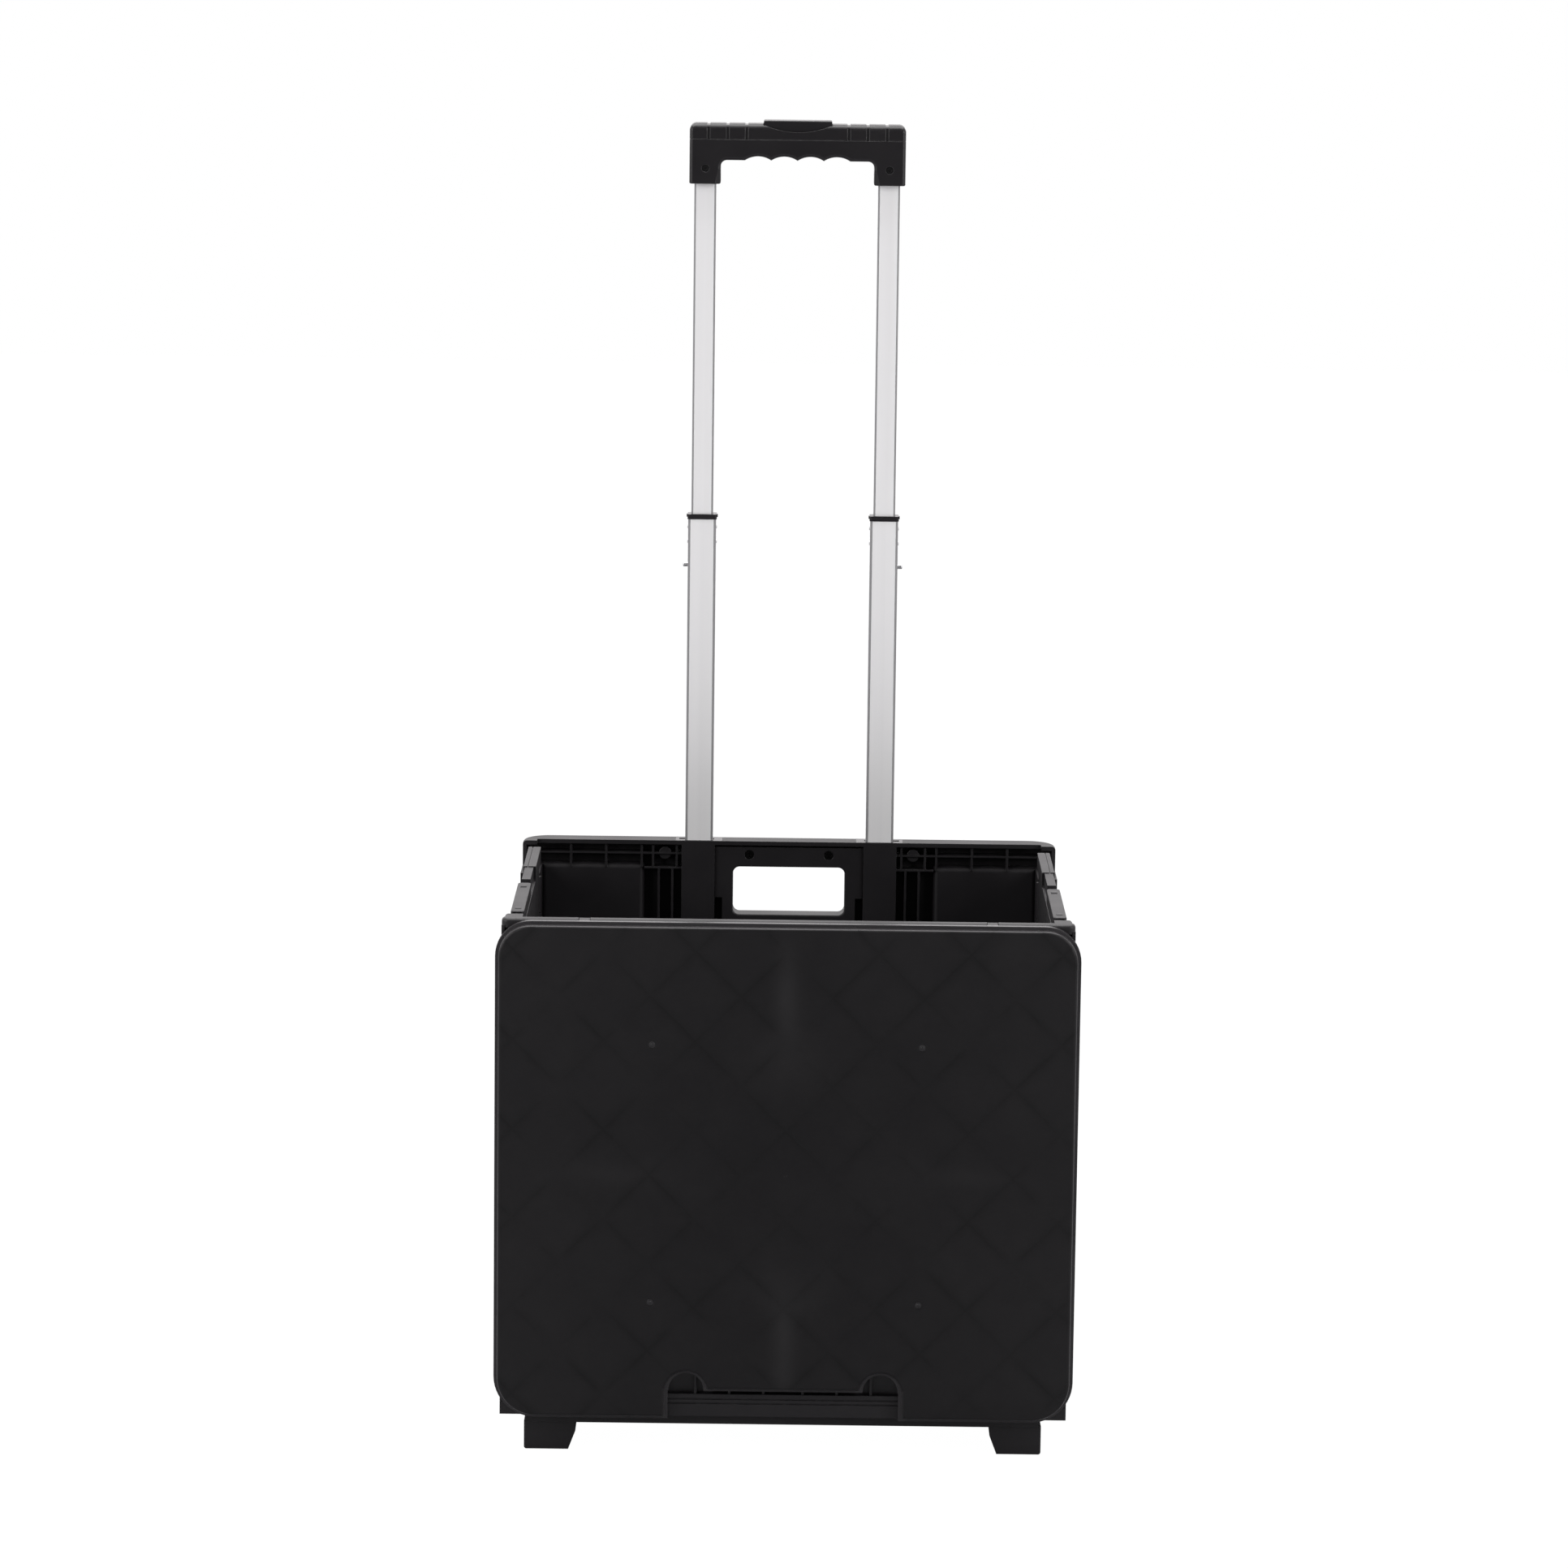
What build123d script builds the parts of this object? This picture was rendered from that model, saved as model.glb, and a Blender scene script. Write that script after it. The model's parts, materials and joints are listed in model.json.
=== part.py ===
from build123d import *
import os
from math import cos, sin, radians

os.makedirs("parts", exist_ok=True)

# A folding rolling crate with a two-stage telescopic handle, standing open, with its loose lid hung on
# the front wall. Millimetres, +Z up, +X to the right, the front wall towards -Y.
# While the pieces are drawn, y = 0 is the inside face of the front wall. Each piece is moved at the end
# so that the origin is on the floor, under the middle of the whole object.

# ---- driving dimensions: crate
frame_width = 433.0
rim_height = 417.0
inside_depth = 338.0
rim_depth = 21.0
rim_round = 3.0
wall_bottom = 31.5
skin = 2.5
rib = 2.0
half_width = frame_width / 2
rear_face = inside_depth + rim_depth
wall_y = 353.0
wall_back = 356.0

# ---- side walls: two halves a side, joined by three upright hinges
wall_inner = 201.0
wall_outer = 211.0
end_axis_x = 203.0
mid_axis_x = 212.0
rear_axis_y = 287.0
front_axis_y = 16.0
mid_axis_y = (rear_axis_y + front_axis_y) / 2
knuckle_radius = 3.5
knuckle_clear = 4.3
knuckle_count = 12
knuckle_low = 36.0
knuckle_high = 396.0
knuckle_gap = 0.6
pin_radius = 1.5
pin_bore = 1.58
open_pivot_bore = 1.9
lock_rail_top = 416.3

# ---- floor panel with the two front feet
floor_half_width = 196.0
floor_front = 4.0
floor_bottom = 22.0
floor_top = 30.0
floor_axis_y = 329.0
floor_axis_z = 26.0
foot_inner = 159.0
foot_outer = 198.5
foot_depth = 40.0
foot_front = 5.5

# ---- lid, hung on the front wall
lid_width = 442.0
lid_low = 31.0
lid_high = 416.5
lid_back = -8.7
lid_front = -20.4
lid_step_y = -14.0
lid_step = 2.6
lid_wall = 2.4
lattice_pitch = 69.0
gate_x = 102.0
gate_z = 100.0
gate_radius = 3.6
gate_depth = 0.7
middle_gate_radius = 1.3
middle_gate_depth = 0.4
notch_half = 88.0
notch_height = 22.0
notch_radius = 13.4
notch_arc_x = 74.1

# ---- telescopic handle
tube_x = 73.5
tube_y = 348.0
lower_size = (22.5, 15.0)
upper_size = (17.5, 10.5)
lower_wall = 1.3
upper_wall = 1.2
lower_low = 306.0
lower_high = 680.0
collar_high = 684.0
upper_low = 614.0
upper_high = 972.0

# ---- grip
grip_half = 86.3
grip_low = 950.0
grip_split = 985.4
grip_top = 998.0
grip_depth = 28.0
grip_leg = 25.0
bar_low = 969.0
leg_facet_width = 4.6
button_half = 27.3
button_top = 1000.8
button_depth = 17.0
scoop_low = 991.6
skirt_low = 989.0
skirt_behind = 2.5

# ---- wheels
wheel_radius = 42.0
wheel_width = 26.0
wheel_x = 192.0
axle_y = 384.0
axle_radius = 4.0
well_inner = 174.5
well_top = 92.0
bracket_inner = 148.0
bracket_outer = 174.0
bracket_middle = (bracket_inner + bracket_outer) / 2
bracket_low = 30.0
bracket_high = 86.0
bracket_plate = 3.5
bracket_screw_heights = (62.0, 76.0)
screw_radius = 1.6

middle_y = (lid_front + axle_y + wheel_radius) / 2


def block(x0, x1, y0, y1, z0, z1):
    """A plain box between two corners."""
    size = (abs(x1 - x0), abs(y1 - y0), abs(z1 - z0))
    return Pos((x0 + x1) / 2, (y0 + y1) / 2, (z0 + z1) / 2) * Box(*size)


def both(x0, x1, y0, y1, z0, z1):
    """The same box on the left and on the right of the middle plane."""
    return [block(x0, x1, y0, y1, z0, z1), block(-x1, -x0, y0, y1, z0, z1)]


def join(first, *rest):
    """One solid from pieces that touch, given singly or in lists."""
    shape = first
    for item in rest:
        for piece in item if isinstance(item, (list, tuple)) else [item]:
            shape = shape + piece
    return shape


def carve(shape, *tools):
    """Take tools away from a shape."""
    for item in tools:
        for tool in item if isinstance(item, (list, tuple)) else [item]:
            shape = shape - tool
    return shape


def upright(radius, x, y, z0, z1):
    """A round bar along Z."""
    return Pos(x, y, (z0 + z1) / 2) * Cylinder(radius, z1 - z0)


def crossbar(radius, x0, x1, y, z):
    """A round bar along X."""
    return Pos((x0 + x1) / 2, y, z) * Rot(0, 90, 0) * Cylinder(radius, abs(x1 - x0))


def through(radius, x, y0, y1, z):
    """A round bar along Y."""
    return Pos(x, (y0 + y1) / 2, z) * Rot(90, 0, 0) * Cylinder(radius, abs(y1 - y0))


def flip(shape):
    """The right-hand twin of a left-hand piece."""
    return mirror(shape, about=Plane.YZ)


def near(value, wanted, slack=0.2):
    return abs(value - wanted) < slack


def soften(shape, radius, keep):
    """Round the edges whose middle point passes the test."""
    return fillet([e for e in shape.edges() if keep(e, e.center())], radius)


def save(name, *solids):
    """Move the finished piece into the object's own frame and write its file."""
    placed = []
    for shape in solids:
        moved = Pos(0, -middle_y, 0) * shape
        placed += list(moved.solids())
    result = placed[0] if len(placed) == 1 else Compound(children=placed)
    export_step(result, f"parts/{name}.step")


# ---- upright hinges -----------------------------------------------------------------------------

def knuckles(x, y, web, first, bore=pin_bore):
    """Every second knuckle of an upright hinge, each with the web that carries it.

    The web is (x0, x1, y0, y1). The pin's hole is left through each knuckle and its web."""
    pitch = (knuckle_high - knuckle_low) / knuckle_count
    pieces = []
    for number in range(first, knuckle_count, 2):
        low = knuckle_low + number * pitch
        high = low + pitch - knuckle_gap
        body = upright(knuckle_radius, x, y, low, high) + block(*web, low, high)
        pieces.append(body - upright(bore, x, y, low - 1, high + 1))
    return pieces


def hinge_pin(x, y):
    return upright(pin_radius, x, y, knuckle_low - 2, knuckle_high - 1)


# ---- rear frame ---------------------------------------------------------------------------------

def frame_outline(inset, front, low, high):
    """The rear frame's outside in plan, with its two rear corners rounded, set in by inset."""
    half = half_width - inset
    solid = block(-half, half, front, rear_face - inset, low, high)
    corner = 22.0 - inset

    def rear_corner(edge, centre):
        upright_edge = edge.length > (high - low) * 0.9
        return upright_edge and near(centre.Y, rear_face - inset) and near(abs(centre.X), half)

    def outer_rim(edge, centre):
        return near(centre.Z, high) and centre.Y > front + 1

    solid = soften(solid, corner, rear_corner)
    return soften(solid, rim_round, outer_rim) if inset == 0 else solid


def rear_frame():
    cheek_front = 291.5
    cheek_top = 397.0
    return_front = 330.0
    raised_face = 341.0
    shell = carve(
        frame_outline(0, cheek_front, floor_bottom, rim_height),
        frame_outline(3.0, cheek_front - 1, floor_bottom - 1, rim_height - 3.5),
        block(-half_width + 16, half_width - 16, cheek_front - 1, inside_depth, 400, rim_height + 1),
        block(-half_width - 1, half_width + 1, cheek_front - 1, return_front, cheek_top, rim_height + 1),
        block(-194.5, 194.5, wall_back, rear_face + 1, floor_bottom + 3, rim_height - 3.5),
    )
    # the shell has no front at the top: its rim is the plate over the rear wall and the two returns
    gap_half = half_width - 11.5
    top_gap = block(-gap_half, gap_half, return_front - 1, inside_depth, 409, rim_height + 1)
    shell = shell - top_gap
    pieces = [block(-213.6, 213.6, wall_y, wall_back, floor_bottom, 413.6)]
    # cheeks: inner wall, front wall and a lid below the rim, on each side
    pieces += both(wall_inner, wall_inner + skin, cheek_front, wall_y, wall_bottom, cheek_top)
    pieces += both(wall_inner, 213.6, cheek_front, cheek_front + 3, wall_bottom, cheek_top)
    pieces += both(wall_inner, 213.6, cheek_front, wall_y, cheek_top - 3, cheek_top)
    pieces += both(wall_inner, 213.6, cheek_front, wall_y, wall_bottom, wall_bottom + 3)
    for height in (90.0, 152.0, 214.0, 276.0, 338.0):
        pieces += both(wall_inner, 213.6, cheek_front, inside_depth, height, height + rib)
    # upright and level ribs under the rim
    for place in (91.5, 110.8, 120.0, 149.0, 177.7):
        pieces += both(place - 0.9, place + 0.9, 340.0, wall_y, 394.0, 413.6)
    pieces += both(87.0, 202.0, 340.0, wall_y, 405.2, 406.8)
    pieces += both(87.0, 118.0, 340.0, wall_y, 393.2, 394.8)
    for place in (95.0, 106.0):
        pieces += both(place - 0.9, place + 0.9, 340.0, wall_y, 60.0, 394.0)
    for height in (60.0, 130.0, 200.0, 270.0, 340.0):
        pieces += both(87.0, 118.0, 342.0, wall_y, height, height + rib)
    # small round bumps standing on the level rib
    for side in (-1, 1):
        pieces.append(through(5.0, side * 101.0, 342.0, wall_y, 406.0))
    # columns that hold the handle tubes, open to the rear until their covers go on
    pieces += both(60.5, 87.5, inside_depth, rear_face, 36.0, 413.6)
    # level ribs on the rear, and the two upright ones beside the columns
    for height in (118.0, 190.0, 262.0, 334.0):
        pieces += both(87.0, 213.6, wall_back, rear_face - 0.5, height, height + rib)
    for place in (120.0, 166.0):
        pieces += both(place, place + rib, wall_back, rear_face - 0.5, 96.0, 400.0)
    for height in (60.0, 118.0, 190.0, 262.0, 334.0):
        pieces.append(block(-61, 61, wall_back, rear_face - 0.5, height, height + rib))
    frame = join(shell, pieces)
    # a broad panel on each side stands forward of the wall, and is hollow behind
    for side in (-1, 1):
        inner_edge, outer_edge = side * 118.0, side * 202.0
        bulge = block(inner_edge, outer_edge, raised_face, wall_y + 1, 98.0, 397.0)
        bulge = soften(bulge, 4.0, lambda e, c: near(c.Y, raised_face))
        hollow_inner, hollow_outer = inner_edge + side * skin, outer_edge - side * skin
        hollow = block(hollow_inner, hollow_outer, raised_face + skin, wall_y + 1, 101, 394)
        frame = frame - block(inner_edge + side, outer_edge - side, wall_y - 0.5, wall_back - rib, 101, 394)
        frame = frame + (bulge - hollow)
    # wheel wells at the lower corners
    for side in (-1, 1):
        well = block(side * well_inner, side * 218, 340.0, 360.0, floor_bottom - 1, well_top)
        frame = frame - well
        x0, x1 = side * (well_inner - skin), side * 213.6
        frame = frame + block(x0, x1, 337.5, 340.0, wall_bottom, well_top + skin)
        frame = frame + block(x0, x1, 337.5, wall_back, well_top, well_top + skin)
    # pilot holes for the screws of the axle brackets
    for side in (-1, 1):
        for height in bracket_screw_heights:
            frame = frame - through(screw_radius, side * bracket_middle, wall_y - 1, wall_back + 1, height)
    # lugs for the floor panel's rod
    for place in (24.0, 100.0, 176.0):
        for side in (-1, 1):
            x0, x1 = side * place, side * (place + 12.0)
            lug = crossbar(4.0, x0, x1, floor_axis_y, floor_axis_z)
            lug = lug + block(x0, x1, floor_axis_y, 341.0, floor_bottom, floor_top)
            frame = frame + lug
    frame = frame + block(-172.0, 172.0, 338.0, wall_y + 1, floor_bottom, floor_bottom + 3)
    frame = frame + both(172.0, 213.6, 338.0, 340.0, floor_bottom, wall_bottom + 1)
    frame = frame - crossbar(2.56, -188, 188, floor_axis_y, floor_axis_z)
    # tube channels, the seats of the guide bushes, and the seats of the rear covers
    for side in (-1, 1):
        x = side * tube_x
        frame = frame - block(x - 11.55, x + 11.55, tube_y - 7.8, rear_face + 1, 38.0, rim_height + 1)
        frame = frame - block(x - 13.5, x + 13.5, 355.9, rear_face + 1, 35.0, 404.0)
        frame = frame - block(x, x + side * 16.2, tube_y - 2.6, tube_y + 2.6, 378.0, rim_height + 1)
        frame = frame - block(x - 13.1, x + 13.1, tube_y - 9.1, tube_y + 9.1, 404.0, rim_height + 1)
        frame = frame - block(x - 19.0, x + 19.0, tube_y - 9.1, tube_y + 9.1, 415.5, rim_height + 1)
        frame = frame + block(x - 13.4, x + 13.4, tube_y + 9.1, rear_face, 403.9, 415.5)
    # the opening for the carrying grip, and the seat of its plate
    frame = frame - block(-50.0, 50.0, 330.0, rear_face + 1, 351.5, 400.0)
    frame = join(
        frame,
        block(-60.3, 60.3, 343.3, wall_y + 1, 409.0, 411.0),
        both(50.0, 52.0, 343.2, wall_back, 351.5, 400.0),
        block(-52.0, 52.0, 343.2, wall_back, 349.5, 351.5),
        block(-52.0, 52.0, 343.2, wall_back, 400.0, 402.0),
    )
    for side in (-1, 1):
        boss = through(4.2, side * 32.3, 343.2, wall_y + 1, 405.6)
        frame = frame + boss
        frame = frame - through(1.6, side * 32.3, 342.0, 352.0, 405.6)
    # knuckles of the rear hinges
    webs = (end_axis_x - 1.8, end_axis_x + knuckle_radius, rear_axis_y, cheek_front + 1)
    right = knuckles(end_axis_x, rear_axis_y, webs, 0)
    frame = join(frame, right, [flip(k) for k in right])
    return frame


def axle_bracket(side):
    """A bracket behind a lower corner: two rounded plates that carry the axle, on a foot plate with a top."""
    near_x, far_x = side * bracket_inner, side * bracket_outer
    pieces = [
        block(near_x, far_x, wall_back, wall_back + 3, bracket_low, bracket_high),
        block(near_x, far_x, wall_back, 366.0, bracket_high - 3, bracket_high),
    ]
    for place in (bracket_inner, bracket_outer - bracket_plate):
        x0, x1 = side * place, side * (place + bracket_plate)
        pieces.append(block(x0, x1, wall_back, axle_y, bracket_low, 54.0))
        pieces.append(crossbar(12.0, x0, x1, axle_y, wheel_radius))
        pieces.append(block(x0, x1, wall_back, 366.0, bracket_low, bracket_high))
    bracket = join(pieces[0], pieces[1:])
    bracket = bracket - crossbar(axle_radius + 0.05, -180, 180, axle_y, wheel_radius)
    for height in bracket_screw_heights:
        bracket = bracket - through(screw_radius, side * bracket_middle, wall_back - 1, wall_back + 4, height)
    return bracket


def bracket_screw(side, height):
    """A pan-head screw driven in from the rear through the bracket's foot plate into the wall."""
    x = side * bracket_middle
    head = through(3.4, x, wall_back + 3, wall_back + 5, height)
    shank = through(screw_radius, x, wall_y - 2, wall_back + 3, height)
    slots = cross_recess(x, wall_back + 5, height, 2.2)
    return head + shank - slots


def cross_recess(x, y, z, reach):
    """The cross-shaped pocket in a screw head, centred on its face."""
    level = block(x - reach, x + reach, y - 1, y + 1, z - 0.45, z + 0.45)
    return level + block(x - 0.45, x + 0.45, y - 1, y + 1, z - reach, z + reach)


def carry_plate():
    """The plate around the carrying opening, with a tunnel that lines the opening to the rear."""
    face = block(-60.3, 60.3, 340.2, 343.2, 370.0, 411.8)
    face = face + block(-54.2, 54.2, 340.2, 343.2, 348.0, 371.0)
    tunnel = block(-49.6, 49.6, 343.2, rear_face, 352.0, 399.6)
    hole = block(-45.5, 45.5, 335.0, 365.0, 356.0, 395.5)
    hole = soften(hole, 5.5, lambda e, c: near(abs(c.X), 45.5) and near(c.Y, 350.0))
    plate = face + tunnel - hole
    plate = soften(plate, 1.2, lambda e, c: near(c.Y, 340.2) and abs(c.X) < 46 and 355 < c.Z < 397)
    for side in (-1, 1):
        plate = plate - through(1.9, side * 32.3, 339.0, 344.0, 405.6)
        plate = plate - through(3.8, side * 32.3, 339.0, 342.0, 405.6)
    return plate


def pan_screw(x, z, face, head, shank, length):
    """A screw driven in along +Y, with a cross recess in its head."""
    body = through(head, x, face, face + 1.6, z) + through(shank, x, face + 1.6, face + length, z)
    return body - cross_recess(x, face, z, head * 0.62)


def guide_bush(side):
    x = side * tube_x
    bush = block(x - 13.0, x + 13.0, tube_y - 9.0, tube_y + 9.0, 404.2, rim_height)
    bush = bush + block(x - 18.9, x + 18.9, tube_y - 9.0, tube_y + 9.0, 415.5, rim_height)
    bush = bush - block(x - 11.33, x + 11.33, tube_y - 7.58, tube_y + 7.58, 400, rim_height + 1)
    # one groove lets the spring pin pass, the other the crimps on the inner side
    bush = bush - block(x, x + side * 16.2, tube_y - 2.5, tube_y + 2.5, 400, rim_height + 1)
    return bush - block(x, x - side * 12.2, tube_y - 2.2, tube_y + 2.2, 400, rim_height + 1)


def tube_cover(side):
    x = side * tube_x
    cover = block(x - 13.3, x + 13.3, 356.1, rear_face + 1.2, 36.2, 403.7)
    cover = soften(cover, 1.0, lambda e, c: near(c.Y, rear_face + 1.2))
    for height in cover_screw_heights:
        cover = cover - through(3.0, x, 357.7, rear_face + 2, height)
    return cover


def cover_screw(side, height):
    x = side * tube_x
    return through(2.9, x, 357.7, 359.6, height) - through(1.3, x, 358.6, 361.0, height)


cover_screw_heights = (60.0, 170.0, 280.0, 390.0)


# ---- floor panel and feet -----------------------------------------------------------------------

def floor_panel():
    rear = 322.0
    half = floor_half_width
    panel = block(-half, half, floor_front, rear, floor_bottom, floor_top)
    pocket = block(-half + 3, half - 3, floor_front + 3, rear - 3, floor_bottom - 1, floor_top - skin)
    panel = panel - pocket
    for number in range(1, 10):
        x = -half + number * (2 * half / 10)
        panel = panel + block(x - 1, x + 1, floor_front + 2, rear - 2, floor_bottom, floor_top - 2)
    for number in range(1, 8):
        y = floor_front + number * ((rear - floor_front) / 8)
        panel = panel + block(-half + 2, half - 2, y - 1, y + 1, floor_bottom, floor_top - 2)
    for side in (-1, 1):
        panel = panel + block(side * foot_inner, side * half, floor_front, foot_depth + 4, floor_bottom, 28)
    # drain slots through the floor, in the bays between the ribs
    for row in range(8):
        for column in range(10):
            if (row + min(column, 9 - column)) % 2:
                x = -half + (column + 0.5) * (2 * half / 10)
                y = floor_front + (row + 0.5) * ((rear - floor_front) / 8)
                if row:
                    panel = panel - block(x - 9, x + 9, y - 1.5, y + 1.5, 26.0, floor_top + 1)
    # lugs on the rear rod, each beside one of the frame's
    for place in (36.5, 112.5, 152.0):
        for side in (-1, 1):
            x0, x1 = side * place, side * (place + 23.0)
            lug = crossbar(4.0, x0, x1, floor_axis_y, floor_axis_z)
            lug = lug + block(x0, x1, rear - 2, floor_axis_y, floor_bottom, floor_top)
            panel = panel + lug
    return panel - crossbar(2.56, -200, 200, floor_axis_y, floor_axis_z)


def front_foot(side):
    """A block under a front corner of the floor, its inner side cut back to the floor line."""
    x0, x1 = foot_inner, foot_outer
    profile = Polyline(
        (x0, floor_bottom), (x0, 14.5), (x0 + 5.5, 0), (x1, 0), (x1, floor_bottom), close=True
    )
    face = make_face(Plane.XZ * profile)
    foot = Pos(0, foot_front, 0) * extrude(face, -foot_depth)
    foot = soften(foot, 2.0, lambda e, c: near(c.Z, 0) and near(c.X, x1))
    foot = soften(foot, 1.2, lambda e, c: near(c.Y, foot_front) and c.Z < 21.5)
    return foot if side > 0 else flip(foot)


# ---- side walls, drawn on the right -------------------------------------------------------------

def wall_panel(low_y, high_y, skin_low, skin_high):
    """One half of a side wall: a skin inside, a frame and a grid of ribs outside."""
    panel = block(wall_inner, wall_inner + skin, skin_low, skin_high, wall_bottom, 405.0)
    panel = join(
        panel,
        block(wall_inner, wall_outer, low_y, high_y, wall_bottom, wall_bottom + 4),
        block(wall_inner, wall_outer, low_y, high_y, 399.0, 403.0),
        block(wall_inner, wall_outer, low_y, low_y + 3, wall_bottom, 403.0),
        block(wall_inner, wall_outer, high_y - 3, high_y, wall_bottom, 403.0),
    )
    for height in (90.0, 152.0, 214.0, 276.0, 338.0):
        panel = panel + block(wall_inner, wall_outer - 1, low_y, high_y, height, height + rib)
    for share in (0.25, 0.5, 0.75):
        y = low_y + share * (high_y - low_y)
        panel = panel + block(wall_inner, wall_outer - 1, y - 1, y + 1, wall_bottom, 400.0)
    return panel


def rear_half():
    low_y, high_y = mid_axis_y + knuckle_clear, rear_axis_y - knuckle_clear
    wall = wall_panel(low_y, high_y, mid_axis_y + 0.7, high_y)
    rail = block(wall_inner - 0.5, wall_outer - 0.5, 213.0, 301.0, 405.0, rim_height)
    rail = soften(rail, 0.8, lambda e, c: near(c.Z, rim_height) and near(c.Y, 257.0))
    rail = rail - block(206.4, 207.2, 213.0, 302.0, rim_height - 0.8, rim_height + 1)
    narrow = block(202.5, 209.2, 160.0, 213.0, 402.0, lock_rail_top)
    wall = join(wall, rail, narrow, block(wall_inner, wall_outer - 0.5, 212.0, high_y, 402.0, 406.0))
    webs = (end_axis_x - 1.8, end_axis_x + knuckle_radius, high_y - 2, rear_axis_y)
    wall = join(wall, knuckles(end_axis_x, rear_axis_y, webs, 1))
    webs = (wall_outer - 3, mid_axis_x - 0.2, mid_axis_y, mid_axis_y + 11)
    return join(wall, knuckles(mid_axis_x, mid_axis_y, webs, 0))


def front_half(bore):
    low_y, high_y = front_axis_y + knuckle_clear, mid_axis_y - knuckle_clear
    wall = wall_panel(low_y, high_y, low_y, mid_axis_y - 0.7)
    head = block(202.6, 209.2, low_y, 139.0, 402.0, lock_rail_top)
    wall = join(wall, head)
    webs = (wall_outer - 3, mid_axis_x - 0.2, mid_axis_y - 11, mid_axis_y)
    wall = join(wall, knuckles(mid_axis_x, mid_axis_y, webs, 1))
    webs = (end_axis_x - 1.8, end_axis_x + knuckle_radius, front_axis_y, low_y + 2)
    return join(wall, knuckles(end_axis_x, front_axis_y, webs, 0, bore))


def slide_lock():
    """A cap that slides along the top of the wall and bridges the middle hinge when pushed back."""
    low, high = 18.6, 138.6
    cap = block(200.8, 211.0, low, high, 407.0, 417.6)
    cap = soften(cap, 3.0, lambda e, c: near(e.length, 10.6) and near(c.Z, 412.3))
    cap = soften(cap, 0.8, lambda e, c: near(c.Z, 417.6))
    cap = cap - block(202.35, 209.45, low - 1, high + 1, 406.0, lock_rail_top + 0.2)
    for end, step in ((30.0, 2.6), (122.0, -2.6)):
        for number in range(3):
            y = end + number * step
            cap = cap - block(203.4, 208.4, y, y + 1.2, 417.0, 418.0)
    return cap


# ---- front wall ---------------------------------------------------------------------------------

def front_wall():
    face_y = -8.5
    post_rear = 11.5
    wall = block(-wall_inner, wall_inner, -skin, 0, wall_bottom, 412.0)
    rim = block(-half_width, half_width, face_y, 0, 410.0, rim_height)
    rim = soften(rim, 5.0, lambda e, c: near(e.length, 7.0) and near(c.Y, face_y))
    rim = soften(rim, 2.5, lambda e, c: near(c.Z, rim_height) and near(c.Y, -1.75) and near(e.length, 3.5))
    pieces = [
        rim,
        block(-half_width, half_width, face_y, face_y + skin, wall_bottom, 49.0),
        block(-half_width, half_width, face_y, 0, wall_bottom, wall_bottom + 3),
        block(-half_width, half_width, face_y, 0, 46.5, 49.0),
    ]
    for height in (110.0, 170.0, 230.0, 290.0, 350.0):
        pieces.append(block(-half_width + 1, half_width - 1, face_y + 1, 0, height, height + rib))
    for number in range(8):
        x = 14.0 + number * 26.0
        pieces += both(x, x + rib, face_y + 1, 0, wall_bottom, 412.0)
    # corner posts, open to the front, with short level ribs
    pieces += both(half_width - skin, half_width, face_y, post_rear, wall_bottom, 412.0)
    pieces += both(wall_inner, half_width, face_y, post_rear, wall_bottom, wall_bottom + 3)
    pieces += both(wall_inner, half_width, post_rear - skin, post_rear, wall_bottom, 412.0)
    pieces += both(wall_inner, wall_inner + skin, -skin, post_rear, wall_bottom, 412.0)
    for number in range(14):
        height = 52.0 + number * 26.0
        pieces += both(wall_inner, half_width - 1, -6.0, post_rear, height, height + rib)
    wall = join(wall, pieces)
    for side in (-1, 1):
        top = block(side * wall_inner, side * (half_width - 1.5), 0.0, 15.4, 404.0, rim_height)
        top = soften(top, 3.5, lambda e, c: near(c.Z, rim_height) and c.Y > 0.5 and abs(c.X) > wall_inner + 1)
        wall = wall + top
    # two fine grooves along the foot of the wall, and the places where the lid's hooks cross the rim
    for height in (41.2, 44.6):
        wall = wall - block(-half_width - 1, half_width + 1, face_y - 1, face_y + 0.9, height, height + 1.0)
    for side in (-1, 1):
        wall = wall - block(side * 149.6, side * 158.4, face_y - 1, 1.0, 412.6, rim_height + 1)
    webs = (end_axis_x - 1.8, end_axis_x + knuckle_radius, post_rear - 1, front_axis_y)
    right = knuckles(end_axis_x, front_axis_y, webs, 1)
    return join(wall, right, [flip(k) for k in right])


# ---- lid ----------------------------------------------------------------------------------------

def lid_outline(inset, near_y, far_y):
    """The lid's outline as a slab, set in by inset, with rounded corners and the notch at its foot."""
    half = lid_width / 2 - inset
    slab = block(-half, half, near_y, far_y, lid_low + inset, lid_high - inset)

    def corner(edge, centre, top):
        along = near(edge.length, abs(far_y - near_y)) and near(abs(centre.X), half)
        return along and (centre.Z > 200) == top

    slab = soften(slab, 27.0 - inset, lambda e, c: corner(e, c, True))
    slab = soften(slab, 32.0 - inset, lambda e, c: corner(e, c, False))
    notch = block(-notch_half - inset, notch_half + inset, near_y - 1, far_y + 1, lid_low - 5,
                  lid_low + notch_height + inset)
    for side in (-1, 1):
        notch = notch + through(notch_radius + inset, side * notch_arc_x, near_y - 1, far_y + 1,
                                lid_low + notch_height + 0.5)
    return slab - notch


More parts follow.
